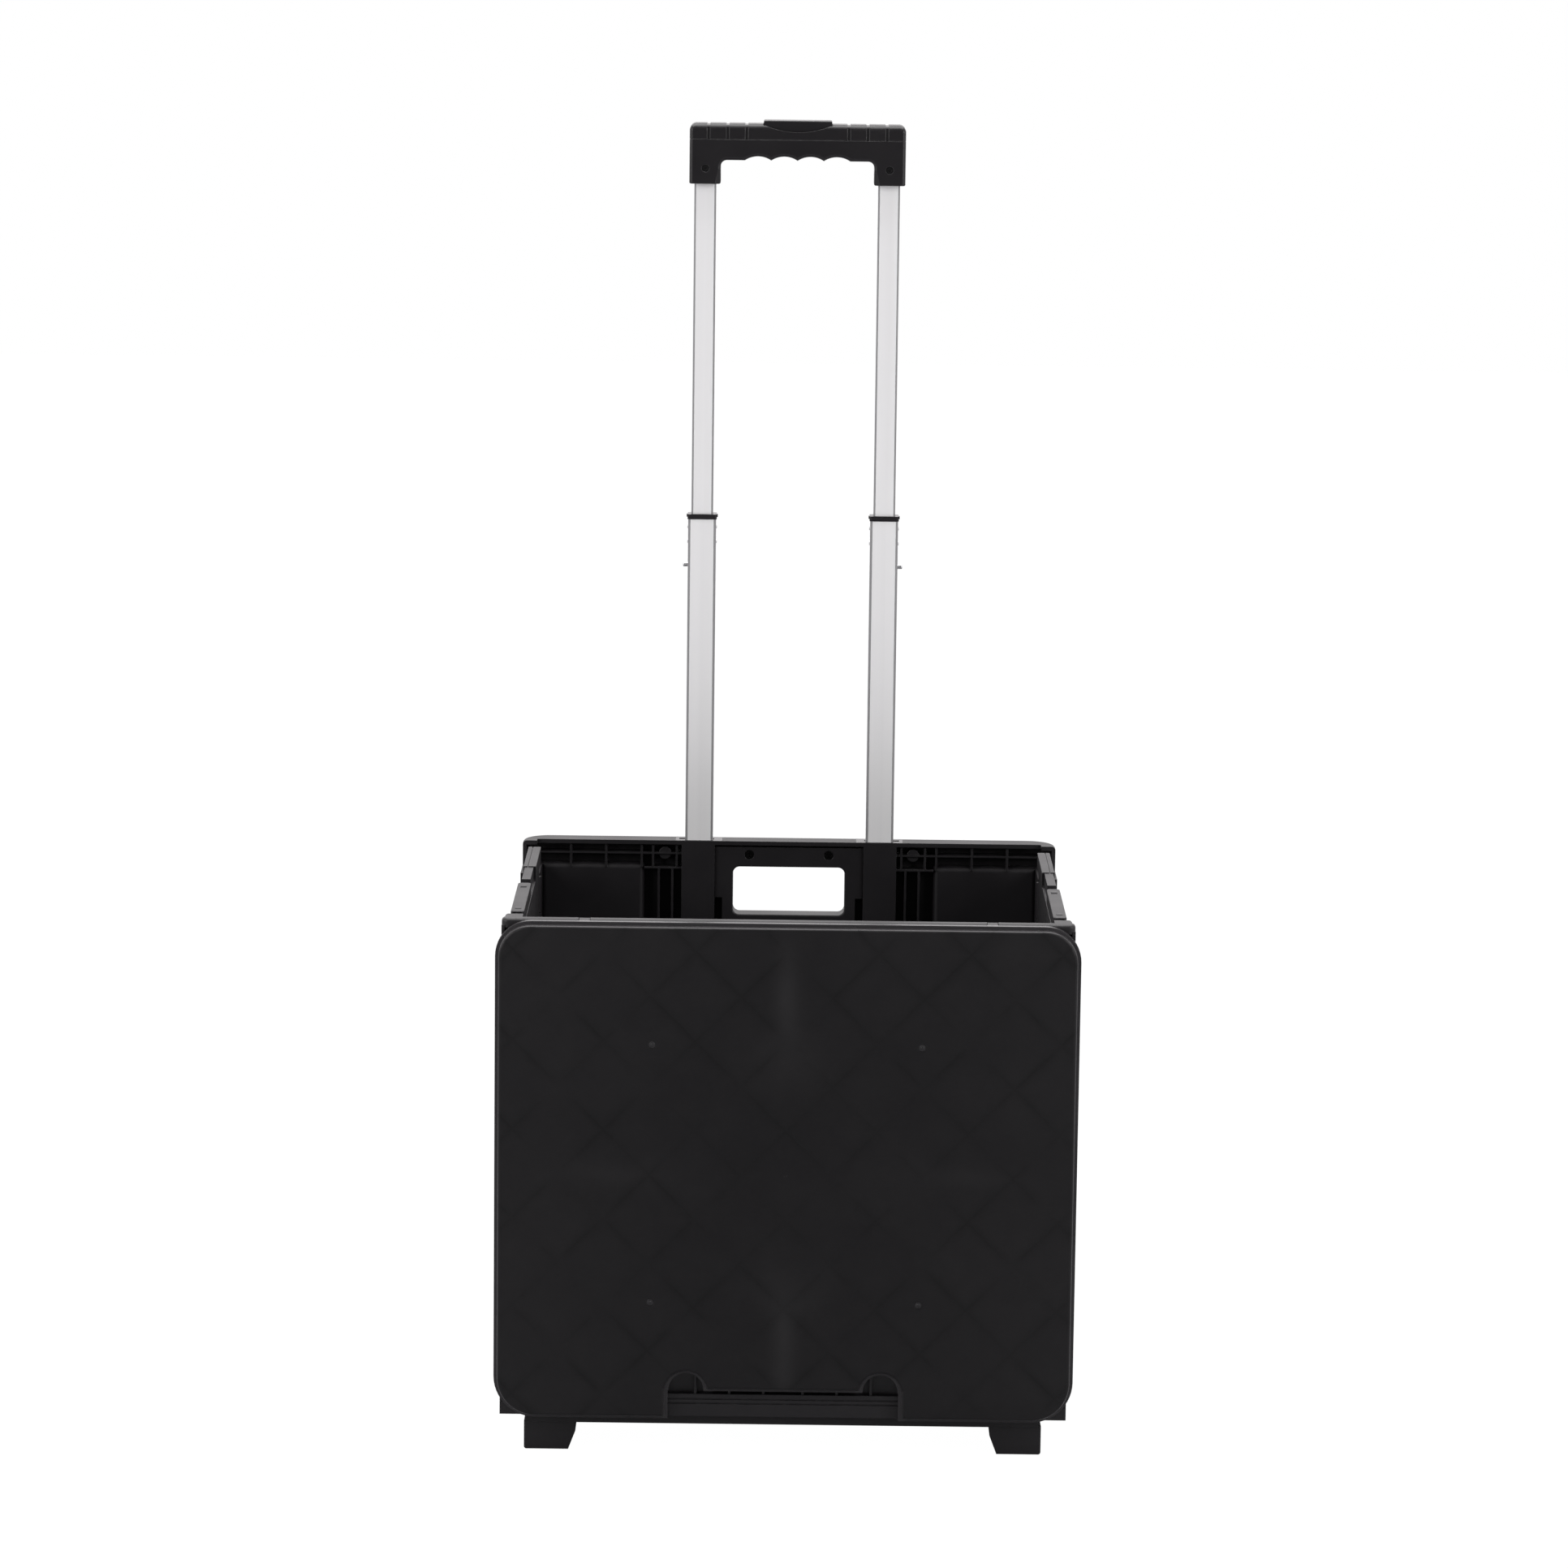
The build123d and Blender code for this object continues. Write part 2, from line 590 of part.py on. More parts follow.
def lid():
    front = lid_outline(lid_step, lid_front, lid_step_y)
    front = soften(front, 2.4, lambda e, c: near(c.Y, lid_front))
    lip = lid_outline(0, lid_step_y, lid_back)
    hollow = lid_outline(lid_step + lid_wall, lid_front + skin, lid_back + 1)
    shell = front + lip - hollow
    # the diamond lattice of ribs that stiffens the plate, under its face
    depth_back = lid_front + skin + 4.0
    low, high = lid_low + 8, lid_high - 8
    lattice = []
    span = lid_width + lid_high - lid_low
    middle_z = (lid_low + lid_high) / 2
    for number in range(-7, 7):
        for turn in (45, -45):
            bar = Box(1.6, depth_back - lid_front - 1, span)
            place = Pos((number + 0.5) * lattice_pitch, (depth_back + lid_front + 1) / 2, middle_z)
            lattice.append(place * Rot(0, turn, 0) * bar)
    grid = join(lattice[0], lattice[1:])
    bounds = lid_outline(lid_step + lid_wall - 0.5, lid_front + 1, depth_back)
    grid = grid & bounds
    plate = shell + grid
    # shallow dishes where the moulding gates were, and a smaller one in the middle
    for x in (-gate_x, gate_x):
        for z in (middle_z - gate_z, middle_z + gate_z):
            plate = plate - dish(x, z, gate_radius, gate_depth)
    return plate - dish(0, middle_z, middle_gate_radius, middle_gate_depth)


def dish(x, z, radius, depth):
    """A ball that cuts a round dish of that radius and depth into the lid's face."""
    ball = (radius ** 2 + depth ** 2) / (2 * depth)
    return Pos(x, lid_front + depth - ball, z) * Sphere(ball)


def lid_hook(side):
    x0, x1 = side * 150.0, side * 158.0
    arm = block(x0, x1, lid_back, 2.0, 413.2, 416.4)
    return arm + block(x0, x1, 0.5, 2.0, 403.0, 415.0)


# ---- handle -------------------------------------------------------------------------------------

def bevelled(size, cut, low, high, x):
    """A rectangular bar along Z whose four long edges are cut off."""
    bar = Pos(x, tube_y, (low + high) / 2) * Box(size[0], size[1], high - low)
    return chamfer([e for e in bar.edges() if near(e.length, high - low)], cut)


def tube(size, cut, wall, low, high, x):
    inner = (size[0] - 2 * wall, size[1] - 2 * wall)
    return bevelled(size, cut, low, high, x) - bevelled(inner, cut * 0.6, low - 1, high + 1, x)


def lower_tube(x):
    side = 1 if x > 0 else -1
    body = tube(lower_size, 1.9, lower_wall, lower_low, lower_high, x)
    return body - crossbar(2.02, x + side * 8, x + side * 13, tube_y, 642.5)


def collar(x):
    """A moulded collar on the lower tube's top, with a skirt inside the tube that guides the upper one."""
    head = bevelled((23.6, 16.1), 1.2, lower_high, collar_high, x)
    skirt = bevelled((19.8, 12.3), 1.3, lower_high - 28, lower_high, x)
    body = head + skirt
    for side in (-1, 1):
        body = body + crossbar(1.3, x + side * 10.5, x + side * 12.6, tube_y, collar_high - 1.6)
    return body - bevelled((17.7, 10.7), 1.3, lower_high - 29, collar_high + 1, x)


def lower_slide(x):
    """The block under the lower tube that runs in the frame's channel."""
    return bevelled((22.4, 14.9), 1.5, lower_low - 12, lower_low, x) + bevelled(
        (19.7, 12.2), 1.0, lower_low, lower_low + 12, x
    ) - bevelled((17.0, 9.6), 1.0, lower_low - 6, lower_low + 13, x)


def spring_pin(x):
    side = 1 if x > 0 else -1
    pin = crossbar(1.97, x + side * 9.99, x + side * 15.2, tube_y, 642.5)
    return soften(pin, 0.8, lambda e, c: near(c.X, x + side * 15.2))


def crimp(x, side, z):
    """A small domed crimp on the tube's side that holds the collar."""
    edge = x + side * lower_size[0] / 2
    body = crossbar(1.7, edge, edge + side * 0.7, tube_y, z)
    return soften(body, 0.5, lambda e, c: near(c.X, edge + side * 0.7, 0.01))


def upper_tube(x):
    return tube(upper_size, 1.5, upper_wall, upper_low, upper_high, x)


def upper_slide(x):
    plug = bevelled((19.7, 12.2), 1.0, upper_low - 8, upper_low, x)
    return plug + bevelled((15.0, 8.0), 0.8, upper_low, upper_low + 7, x)


def finger_edge(centre, inner):
    """True for an edge along the underside of the grip's bar or the inner side of its legs."""
    return grip_low + 1 < centre.Z < bar_low + 4 and abs(centre.X) < inner + 0.5


def leg_facet(inner, y0):
    """The long three-sided facet that thins a leg's front inner edge towards its foot."""
    top = Vector(inner, y0, bar_low)
    foot = Vector(inner + leg_facet_width, y0, grip_low)
    side = Vector(inner, y0 + leg_facet_width, grip_low)
    outward = (side - top).cross(foot - top).normalized()
    middle = top + outward * 10
    slab = Plane(origin=middle, x_dir=(foot - top).normalized(), z_dir=outward) * Box(80, 80, 20)
    return slab & block(inner - 1, inner + 12, y0 - 1, y0 + 8, grip_low - 1, bar_low)


def grip_body():
    y0, y1 = tube_y - grip_depth / 2, tube_y + grip_depth / 2
    body = block(-grip_half, grip_half, y0, y1, grip_low, grip_split)
    inner = grip_half - grip_leg
    gap = block(-inner, inner, y0 - 1, y1 + 1, grip_low - 1, bar_low)
    gap = soften(gap, 5.0, lambda e, c: near(c.Z, bar_low) and near(abs(c.X), inner))
    body = body - gap
    scallop = 10.5
    sag = 3.2
    radius = (scallop ** 2 + sag ** 2) / (2 * sag)
    for number in (-3, -1, 1, 3):
        body = body - through(radius, number * scallop, y0 - 1, y1 + 1, bar_low + sag - radius)
    # round the hand side of the bar and the legs, then draw the legs in towards their lower ends
    body_middle = (grip_low + grip_split) / 2
    body = soften(body, 3.0, lambda e, c: near(abs(c.X), grip_half) and near(c.Z, body_middle))
    for face in (y0, y1):
        body = soften(body, 2.6, lambda e, c: near(c.Y, face) and finger_edge(c, inner))
    body = soften(body, 1.2, lambda e, c: near(c.Z, grip_low))
    facet = leg_facet(inner, y0)
    body = body - facet - flip(facet)
    for side in (-1, 1):
        x = side * tube_x
        body = body - bevelled((17.54, 10.54), 1.5, grip_low - 1, upper_high + 0.02, x)
        body = body - through(3.1, x, y0 - 1, y0 + 1.8, 962.5)
        body = body - through(1.55, x, y0 - 1, tube_y - 4, 962.5)
    # the channel for the release yoke, the button's well and the spring's seat
    body = body - block(-79, 79, tube_y - 4.5, tube_y + 4.5, 976.4, grip_split + 1)
    body = body - block(-button_half - 1, button_half + 1, tube_y - 9.5, tube_y + 9.5, 981.0, grip_split + 1)
    for side in (-1, 1):
        body = body - upright(3.2, side * tube_x, tube_y, upper_high - 1, 977.0)
    return body - upright(4.4, 0, tube_y, 972.0, 977.0)


def grip_cover():
    y0, y1 = tube_y - grip_depth / 2, tube_y + grip_depth / 2
    cover = block(-grip_half, grip_half, y0, y1, grip_split, grip_top)
    cover_middle = (grip_split + grip_top) / 2
    cover = soften(cover, 3.0, lambda e, c: near(abs(c.X), grip_half) and near(c.Z, cover_middle))
    cover = soften(cover, 5.5, lambda e, c: near(c.Z, grip_top))
    for place in (40.8, 55.9, 71.2):
        for side in (-1, 1):
            x = side * place
            band = block(x - 1.2, x + 1.2, y0 - 1, y1 + 1, grip_split - 1, grip_top + 1)
            core = block(x - 2, x + 2, y0 + 0.9, y1 - 0.9, grip_split - 1, grip_top - 0.9)
            cover = cover - (band - core)
    # the fine shadow line where the cover meets the body
    line = block(-grip_half - 1, grip_half + 1, y0 - 1, y1 + 1, grip_split, grip_split + 0.5)
    core = block(-grip_half + 0.5, grip_half - 0.5, y0 + 0.5, y1 - 0.5, grip_split - 1, grip_split + 1)
    cover = cover - (line - core)
    # the button's slot, and the scoop in the front wall that shows the button's skirt
    slot_half = button_half + 0.3
    slot_front = y0 + skirt_behind - 0.3
    slot_back = tube_y + button_depth / 2 + 0.3
    slot = block(-slot_half, slot_half, slot_front, slot_back, grip_split - 1, grip_top + 1)
    sag = grip_top - scoop_low
    chord = button_half + 1.0
    radius = (chord ** 2 + sag ** 2) / (2 * sag)
    cover = cover - through(radius, 0, y0 - 1, slot_front + 1, scoop_low + radius)
    channel = block(-79, 79, tube_y - 4.5, tube_y + 4.5, grip_split - 1, grip_split + 1.2)
    return cover - slot - channel


def push_button():
    """The release button: a bar with a skirt that shows through the scoop in the cover's front wall."""
    front, back = tube_y - button_depth / 2, tube_y + button_depth / 2
    skirt_front = tube_y - grip_depth / 2 + skirt_behind
    button = block(-button_half, button_half, front, back, grip_split, button_top)
    button = button + block(-button_half, button_half, skirt_front, front, skirt_low, button_top)
    return soften(button, 1.2, lambda e, c: near(c.Z, button_top))


def release_yoke():
    bar = block(-77, 77, tube_y - 4, tube_y + 4, 980.0, grip_split)
    for side in (-1, 1):
        bar = bar + upright(2.5, side * tube_x, tube_y, 625.0, 980.0)
    return bar


def button_spring():
    path = Helix(pitch=1.85, height=6.0, radius=3.2)
    start = Plane(origin=path @ 0, z_dir=path % 0)
    coil = sweep(start * Circle(0.45), path=path)
    return Pos(0, tube_y, 972.8) * coil


def grip_screw(x):
    y0 = tube_y - grip_depth / 2
    head = through(2.95, x, y0 + 0.3, y0 + 1.8, 962.5) - through(1.5, x, y0 - 1, y0 + 1.1, 962.5)
    return head + through(1.5, x, y0 + 1.8, tube_y - upper_size[1] / 2, 962.5)


# ---- wheels -------------------------------------------------------------------------------------

def wheel_ring(points, x):
    """A ring turned about the axle from a profile of (distance from the wheel's middle, radius)."""
    face = make_face(Plane.XY * Polyline(*points, close=True))
    ring = revolve(face, Axis.X, 360)
    return Pos(x, axle_y, wheel_radius) * ring


def tyre(x):
    half = wheel_width / 2
    left_side = [(-half, 34), (-half, 39.5), (-half + 3.5, 42)]
    right_side = [(half - 3.5, 42), (half, 39.5), (half, 34)]
    ring = wheel_ring(left_side + right_side, x)
    for place in (-5.0, 5.0):
        low, high = place - 0.9, place + 0.9
        groove = wheel_ring([(low, 41.0), (low, 43), (high, 43), (high, 41.0)], x)
        ring = ring - groove
    return ring


def wheel_hub(x):
    half = wheel_width / 2
    profile = [
        (-half + 1, 34), (-half + 1, 29.5), (-4, 28), (-4, 12), (-half, 11), (-half, 4.08),
        (half, 4.08), (half, 11), (4, 12), (4, 28), (half - 1, 29.5), (half - 1, 34),
    ]
    hub = wheel_ring(profile, x)
    for number in range(6):
        angle = radians(30 + number * 60)
        y, z = axle_y + 20.5 * cos(angle), wheel_radius + 20.5 * sin(angle)
        hub = hub - crossbar(5.6, x - half, x + half, y, z)
    return hub


def wheel_cap(x):
    """A pressed cap on the hub's outer end."""
    side = 1 if x > 0 else -1
    edge = x + side * wheel_width / 2
    cap = crossbar(10.5, edge, edge + side * 2.6, axle_y, wheel_radius)
    cap = soften(cap, 1.6, lambda e, c: near(c.X, edge + side * 2.6))
    return cap


def axle():
    reach = wheel_x + wheel_width / 2 - 0.4
    return crossbar(axle_radius, -reach, reach, axle_y, wheel_radius)


def axle_washer(side):
    x0, x1 = side * 174.3, side * 176.4
    bore = crossbar(4.03, side * 173, side * 178, axle_y, wheel_radius)
    return crossbar(9.0, x0, x1, axle_y, wheel_radius) - bore


# ---- write every piece --------------------------------------------------------------------------

sides = {"left": -1, "right": 1}

save("rear_frame", rear_frame())
save("carry_grip_plate", carry_plate())
save("carry_grip_screws", *[pan_screw(s * 32.3, 405.6, 340.4, 3.7, 1.55, 9.0) for s in (-1, 1)])
save("tube_guide_bushes", guide_bush(-1), guide_bush(1))
save("bracket_screws", *[bracket_screw(s, z) for s in (-1, 1) for z in bracket_screw_heights])
save("axle", axle())
save("axle_washers", axle_washer(-1), axle_washer(1))
save("floor_hinge_rod", crossbar(2.5, -187.6, 187.6, floor_axis_y, floor_axis_z))
save("rear_hinge_pins", hinge_pin(-end_axis_x, rear_axis_y), hinge_pin(end_axis_x, rear_axis_y))
save("floor_panel", floor_panel())
save("front_wall", front_wall())
save("front_hinge_pins", hinge_pin(-end_axis_x, front_axis_y), hinge_pin(end_axis_x, front_axis_y))
save("lid", lid())
save("lid_hooks", lid_hook(-1), lid_hook(1))
save("grip_body", grip_body())
save("grip_cover", grip_cover())
save("grip_screws", grip_screw(-tube_x), grip_screw(tube_x))
save("push_button", push_button())
save("release_yoke", release_yoke())
save("button_spring", button_spring())

right_walls = {
    "rear_side_wall": rear_half(),
    "front_side_wall": front_half(open_pivot_bore),
    "slide_lock": slide_lock(),
}
left_walls = dict(right_walls, front_side_wall=front_half(pin_bore))

for word, side in sides.items():
    for piece, shape in (right_walls if side > 0 else left_walls).items():
        save(f"{word}_{piece}", shape if side > 0 else flip(shape))
    save(f"{word}_mid_hinge_pin", hinge_pin(side * mid_axis_x, mid_axis_y))
    save(f"{word}_front_foot", front_foot(side))
    save(f"{word}_axle_bracket", axle_bracket(side))
    save(f"{word}_tube_cover", tube_cover(side))
    save(f"{word}_cover_screws", *[cover_screw(side, z) for z in cover_screw_heights])
    save(f"{word}_tyre", tyre(side * wheel_x))
    save(f"{word}_wheel_hub", wheel_hub(side * wheel_x))
    save(f"{word}_wheel_cap", wheel_cap(side * wheel_x))
    save(f"{word}_lower_tube", lower_tube(side * tube_x))
    save(f"{word}_tube_collar", collar(side * tube_x))
    save(f"{word}_lower_slide", lower_slide(side * tube_x))
    save(f"{word}_spring_pin", spring_pin(side * tube_x))
    crimps = [crimp(side * tube_x, s, z) for s in (-1, 1) for z in (661.5, 673.5)]
    save(f"{word}_collar_crimps", *crimps)
    save(f"{word}_upper_tube", upper_tube(side * tube_x))
    save(f"{word}_upper_slide", upper_slide(side * tube_x))
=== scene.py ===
# %% [markdown]
# # A folding rolling crate with a two-stage handle
#
# The crate is black moulded plastic: a rear frame, four hinged half walls, a front wall, a floor panel and
# a loose lid that hangs on the front wall. Two aluminium tubes a side slide in one another and end in one
# grip. The imported CAD model already holds every piece at its real size. This file lights them, gives each
# one its finish, and adds a few fine details. Only three pieces are made anew: the two tyres, which get a
# tread, and the button's spring, which shortens on the real crate but here keeps one length. Everything is
# in metres, in the CAD model's frame.

# %% Load the imported frame
import json
from math import pi, radians

import bmesh
import bpy
import numpy as np
from mathutils import Matrix, Vector


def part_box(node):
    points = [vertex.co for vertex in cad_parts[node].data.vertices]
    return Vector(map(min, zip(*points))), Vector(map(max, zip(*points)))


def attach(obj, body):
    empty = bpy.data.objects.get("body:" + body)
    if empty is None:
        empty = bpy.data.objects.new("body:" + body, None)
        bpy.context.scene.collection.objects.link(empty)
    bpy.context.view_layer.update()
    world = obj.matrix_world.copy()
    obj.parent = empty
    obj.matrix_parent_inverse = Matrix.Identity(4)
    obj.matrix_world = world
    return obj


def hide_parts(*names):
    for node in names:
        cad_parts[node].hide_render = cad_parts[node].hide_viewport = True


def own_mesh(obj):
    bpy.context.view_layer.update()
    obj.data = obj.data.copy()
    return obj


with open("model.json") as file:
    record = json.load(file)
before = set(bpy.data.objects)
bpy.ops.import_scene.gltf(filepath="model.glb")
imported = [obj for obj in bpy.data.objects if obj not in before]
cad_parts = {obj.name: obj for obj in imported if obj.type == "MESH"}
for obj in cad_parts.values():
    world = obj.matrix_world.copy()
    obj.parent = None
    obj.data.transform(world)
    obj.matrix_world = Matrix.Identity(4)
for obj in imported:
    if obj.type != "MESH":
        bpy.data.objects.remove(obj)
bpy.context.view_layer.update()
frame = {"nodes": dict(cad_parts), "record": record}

# %% [markdown]
# ## Camera
#
# The crate is seen from straight in front with a long lens, from a little above the grip, so its sides stay
# almost upright. A camera looks along its own -Z axis, so it is first tipped up by a right angle less the
# downward tilt, and then rolled a little about the line of sight. Multiplying the two turns keeps them
# apart, which three Euler numbers typed in by hand would not.

# %% Camera
eye = (-0.0048, -4.3905, 1.2188)
tilt_down = radians(9.46)
roll = radians(0.70)
camera_data = bpy.data.cameras.new("viewer")
camera_data.sensor_width = 36.0
camera_data.lens = 129.6
camera = bpy.data.objects.new("viewer", camera_data)
bpy.context.scene.collection.objects.link(camera)
turn = Matrix.Rotation(pi / 2 - tilt_down, 4, "X") @ Matrix.Rotation(roll, 4, "Z")
camera.matrix_world = Matrix.Translation(eye) @ turn
bpy.context.scene.camera = camera

# %% [markdown]
# ## Helpers for node trees
#
# A material is a small graph. Four short helpers keep the graphs readable: one makes a node and sets its
# properties, one joins two sockets, one opens a node group with named inputs and outputs, and one places
# a finished group inside a material with its own values.

# %% Node helpers
def add(tree, kind, **settings):
    """A new node of that kind with its properties set by name."""
    node = tree.nodes.new(kind)
    for name, value in settings.items():
        setattr(node, name, value)
    return node


def wire(tree, source, target):
    """Joins an output socket, or the first output of a node, to an input socket."""
    output = source.outputs[0] if hasattr(source, "outputs") else source
    tree.links.new(output, target)


def maths(tree, operation, *values, clamp=False):
    """A Math node whose inputs are numbers or sockets."""
    node = add(tree, "ShaderNodeMath", operation=operation, use_clamp=clamp)
    for place, value in enumerate(values):
        if isinstance(value, (int, float)):
            node.inputs[place].default_value = value
        else:
            wire(tree, value, node.inputs[place])
    return node.outputs[0]


def new_group(name, inputs, outputs):
    """An empty node group with number inputs {name: default} and outputs {name: kind}."""
    group = bpy.data.node_groups.new(name, "ShaderNodeTree")
    for label, default in inputs.items():
        socket = group.interface.new_socket(label, in_out="INPUT", socket_type="NodeSocketFloat")
        socket.default_value = default
    for label, kind in outputs.items():
        group.interface.new_socket(label, in_out="OUTPUT", socket_type="NodeSocket" + kind)
    return group, add(group, "NodeGroupInput"), add(group, "NodeGroupOutput")


def place(tree, group, **values):
    """A finished group set into a material, with its inputs set by name (underscores for spaces)."""
    node = add(tree, "ShaderNodeGroup", node_tree=group)
    for name, value in values.items():
        node.inputs[name.replace("_", " ")].default_value = value
    return node


# %% [markdown]
# ## Studio
#
# The crate stands in an even white studio. Black plastic shows almost nothing but reflections, so what
# matters is how bright the room is in each direction: bright behind and above the crate, which whitens
# every upward face seen at a flat angle, and dimmer towards the viewer, which keeps the broad faces black.
# The world does this with a soft ramp on its direction vector. Rays that go straight to the camera see
# plain white instead.

# %% World
world = bpy.data.worlds.new("studio")
bpy.context.scene.world = world
world.use_nodes = True
sky = world.node_tree
sky.nodes.clear()
direction = add(sky, "ShaderNodeTexCoord")
parts = add(sky, "ShaderNodeSeparateXYZ")
wire(sky, direction.outputs["Generated"], parts.inputs[0])
room_front, room_back = 0.20, 1.5
depth_ramp = add(sky, "ShaderNodeMapRange", interpolation_type="SMOOTHSTEP")
wire(sky, parts.outputs["Y"], depth_ramp.inputs["Value"])
for label, value in (("From Min", -0.7), ("From Max", 0.7), ("To Min", room_front), ("To Max", room_back)):
    depth_ramp.inputs[label].default_value = value
room = add(sky, "ShaderNodeBackground")
room.inputs["Color"].default_value = (1.0, 0.975, 0.985, 1.0)
wire(sky, depth_ramp, room.inputs["Strength"])
backdrop = add(sky, "ShaderNodeBackground")
backdrop.inputs["Color"].default_value = (1.0, 1.0, 1.0, 1.0)
ray = add(sky, "ShaderNodeLightPath")
either = add(sky, "ShaderNodeMixShader")
wire(sky, ray.outputs["Is Camera Ray"], either.inputs[0])
wire(sky, room, either.inputs[1])
wire(sky, backdrop, either.inputs[2])
wire(sky, either, add(sky, "ShaderNodeOutputWorld").inputs["Surface"])
bpy.context.scene.view_settings.view_transform = "Standard"
print("world ramp from", room_front, "in front to", room_back, "behind")

# %% [markdown]
# The floor is a wide pale sheet. It would photograph slightly grey near the crate and end in a hard line
# at the horizon, so most of what the camera sees of it is its own even glow, and only a little is the
# light that falls on it. That keeps a soft contact shadow under the feet. The paper itself is a mid grey:
# the lid mirrors the floor in front of it, and a white floor there would turn black plastic milky.

# %% Floor
floor_half = 9.0
own_glow, glow_strength = 0.94, 1.06
floor_mesh = bpy.data.meshes.new("studio_floor")
floor_corners = [(-floor_half, -floor_half, 0), (floor_half, -floor_half, 0),
                 (floor_half, floor_half, 0), (-floor_half, floor_half, 0)]
floor_mesh.from_pydata(floor_corners, [], [(0, 1, 2, 3)])
floor = bpy.data.objects.new("studio_floor", floor_mesh)
bpy.context.scene.collection.objects.link(floor)
paper = bpy.data.materials.new("pale_floor_paper")
paper.use_nodes = True
tree = paper.node_tree
tree.nodes.clear()
matte = add(tree, "ShaderNodeBsdfDiffuse")
matte.inputs["Color"].default_value = (0.42, 0.42, 0.43, 1.0)
glow = add(tree, "ShaderNodeEmission")
glow.inputs["Strength"].default_value = glow_strength
ray = add(tree, "ShaderNodeLightPath")
share = maths(tree, "MULTIPLY", ray.outputs["Is Camera Ray"], own_glow)
blend = add(tree, "ShaderNodeMixShader")
wire(tree, share, blend.inputs[0])
wire(tree, matte, blend.inputs[1])
wire(tree, glow, blend.inputs[2])
wire(tree, blend, add(tree, "ShaderNodeOutputMaterial").inputs["Surface"])
floor_mesh.materials.append(paper)


# %% [markdown]
# Five soft boxes finish the studio. The one overhead stands a little behind the crate and lights its rims.
# The two strips at the sides draw the bright lines down the edges of the tubes and of the lid, and the two
# boxes at the front corners fill the flat faces of the tubes without mirroring in the lid. An area light
# shines along its own -Z axis, so each one is aimed by turning that axis onto a target point.

# %% Soft boxes
def soft_box(name, where, target, width, height, watts):
    """A rectangular area light that stands at where and faces target."""
    data = bpy.data.lights.new(name, "AREA")
    data.shape = "RECTANGLE"
    data.size, data.size_y, data.energy = width, height, watts
    lamp = bpy.data.objects.new(name, data)
    bpy.context.scene.collection.objects.link(lamp)
    lamp.location = where
    lamp.rotation_euler = (Vector(target) - Vector(where)).to_track_quat("-Z", "Y").to_euler()


soft_box("overhead_box", (0.0, 0.35, 2.9), (0.0, 0.0, 0.5), 2.6, 1.8, 88.0)
soft_box("left_strip", (-2.3, -0.9, 1.3), (0.0, 0.0, 0.5), 0.7, 2.2, 14.0)
soft_box("right_strip", (2.3, -0.9, 1.3), (0.0, 0.0, 0.5), 0.7, 2.2, 14.0)
soft_box("left_front_box", (-2.6, -2.4, 1.8), (0.0, 0.15, 0.75), 1.2, 1.8, 55.0)
soft_box("right_front_box", (2.6, -2.4, 1.8), (0.0, 0.15, 0.75), 1.2, 1.8, 55.0)

# %% [markdown]
# ## Effects that several finishes share
#
# **Moulded grain.** Injection moulds are spark-eroded so that the plastic comes out with a fine, even
# grain about half a millimetre across. Two noises make it, one fine for the grain and one broad for the
# slow change in sheen over a panel. Both read Object coordinates, which stay with the piece as it moves.

# %% Moulded grain
grain, inlet, outlet = new_group(
    "moulded_grain", {"Grain Per Metre": 1900.0, "Sheen Per Metre": 14.0}, {"Height": "Float", "Sheen": "Float"})
where = add(grain, "ShaderNodeTexCoord")
fine = add(grain, "ShaderNodeTexNoise")
fine.inputs["Detail"].default_value = 2.0
fine.inputs["Roughness"].default_value = 0.55
wire(grain, where.outputs["Object"], fine.inputs["Vector"])
wire(grain, inlet.outputs["Grain Per Metre"], fine.inputs["Scale"])
broad = add(grain, "ShaderNodeTexNoise")
broad.inputs["Detail"].default_value = 3.0
broad.inputs["Distortion"].default_value = 0.4
wire(grain, where.outputs["Object"], broad.inputs["Vector"])
wire(grain, inlet.outputs["Sheen Per Metre"], broad.inputs["Scale"])
wire(grain, fine.outputs["Fac"], outlet.inputs["Height"])
wire(grain, broad.outputs["Fac"], outlet.inputs["Sheen"])

# %% [markdown]
# ** Soft edges.** No moulded edge is knife sharp: each has a radius of a few tenths of a millimetre that
# catches a thread of light. Modelling every one would cost millions of faces. The Bevel node works out the
# normal that such a rounding would have. Where it differs from the flat normal there is an edge, and that
# difference is also the mask for handling wear, broken up by a noise. Unbroken, the same edge mask also lets
# a material paint a highlight along every edge.

# %% Soft edges
edges, inlet, outlet = new_group(
    "soft_edges", {"Radius": 0.0007, "Wear Per Metre": 220.0}, {"Normal": "Vector", "Edge": "Float", "Wear": "Float"})
rounding = add(edges, "ShaderNodeBevel", samples=6)
wire(edges, inlet.outputs["Radius"], rounding.inputs["Radius"])
flat = add(edges, "ShaderNodeNewGeometry")
agree = add(edges, "ShaderNodeVectorMath", operation="DOT_PRODUCT")
wire(edges, rounding.outputs["Normal"], agree.inputs[0])
wire(edges, flat.outputs["True Normal"], agree.inputs[1])
differ = maths(edges, "SUBTRACT", 1.0, agree.outputs["Value"], clamp=True)
edge_mask = maths(edges, "MULTIPLY", differ, 4.0, clamp=True)
rub = add(edges, "ShaderNodeTexNoise")
rub.inputs["Detail"].default_value = 4.0
where = add(edges, "ShaderNodeTexCoord")
wire(edges, where.outputs["Object"], rub.inputs["Vector"])
wire(edges, inlet.outputs["Wear Per Metre"], rub.inputs["Scale"])
broken = add(edges, "ShaderNodeMapRange", interpolation_type="SMOOTHSTEP")
wire(edges, rub.outputs["Fac"], broken.inputs["Value"])
broken.inputs["From Min"].default_value = 0.42
broken.inputs["From Max"].default_value = 0.66
wear_mask = maths(edges, "MULTIPLY", edge_mask, broken.outputs["Result"])
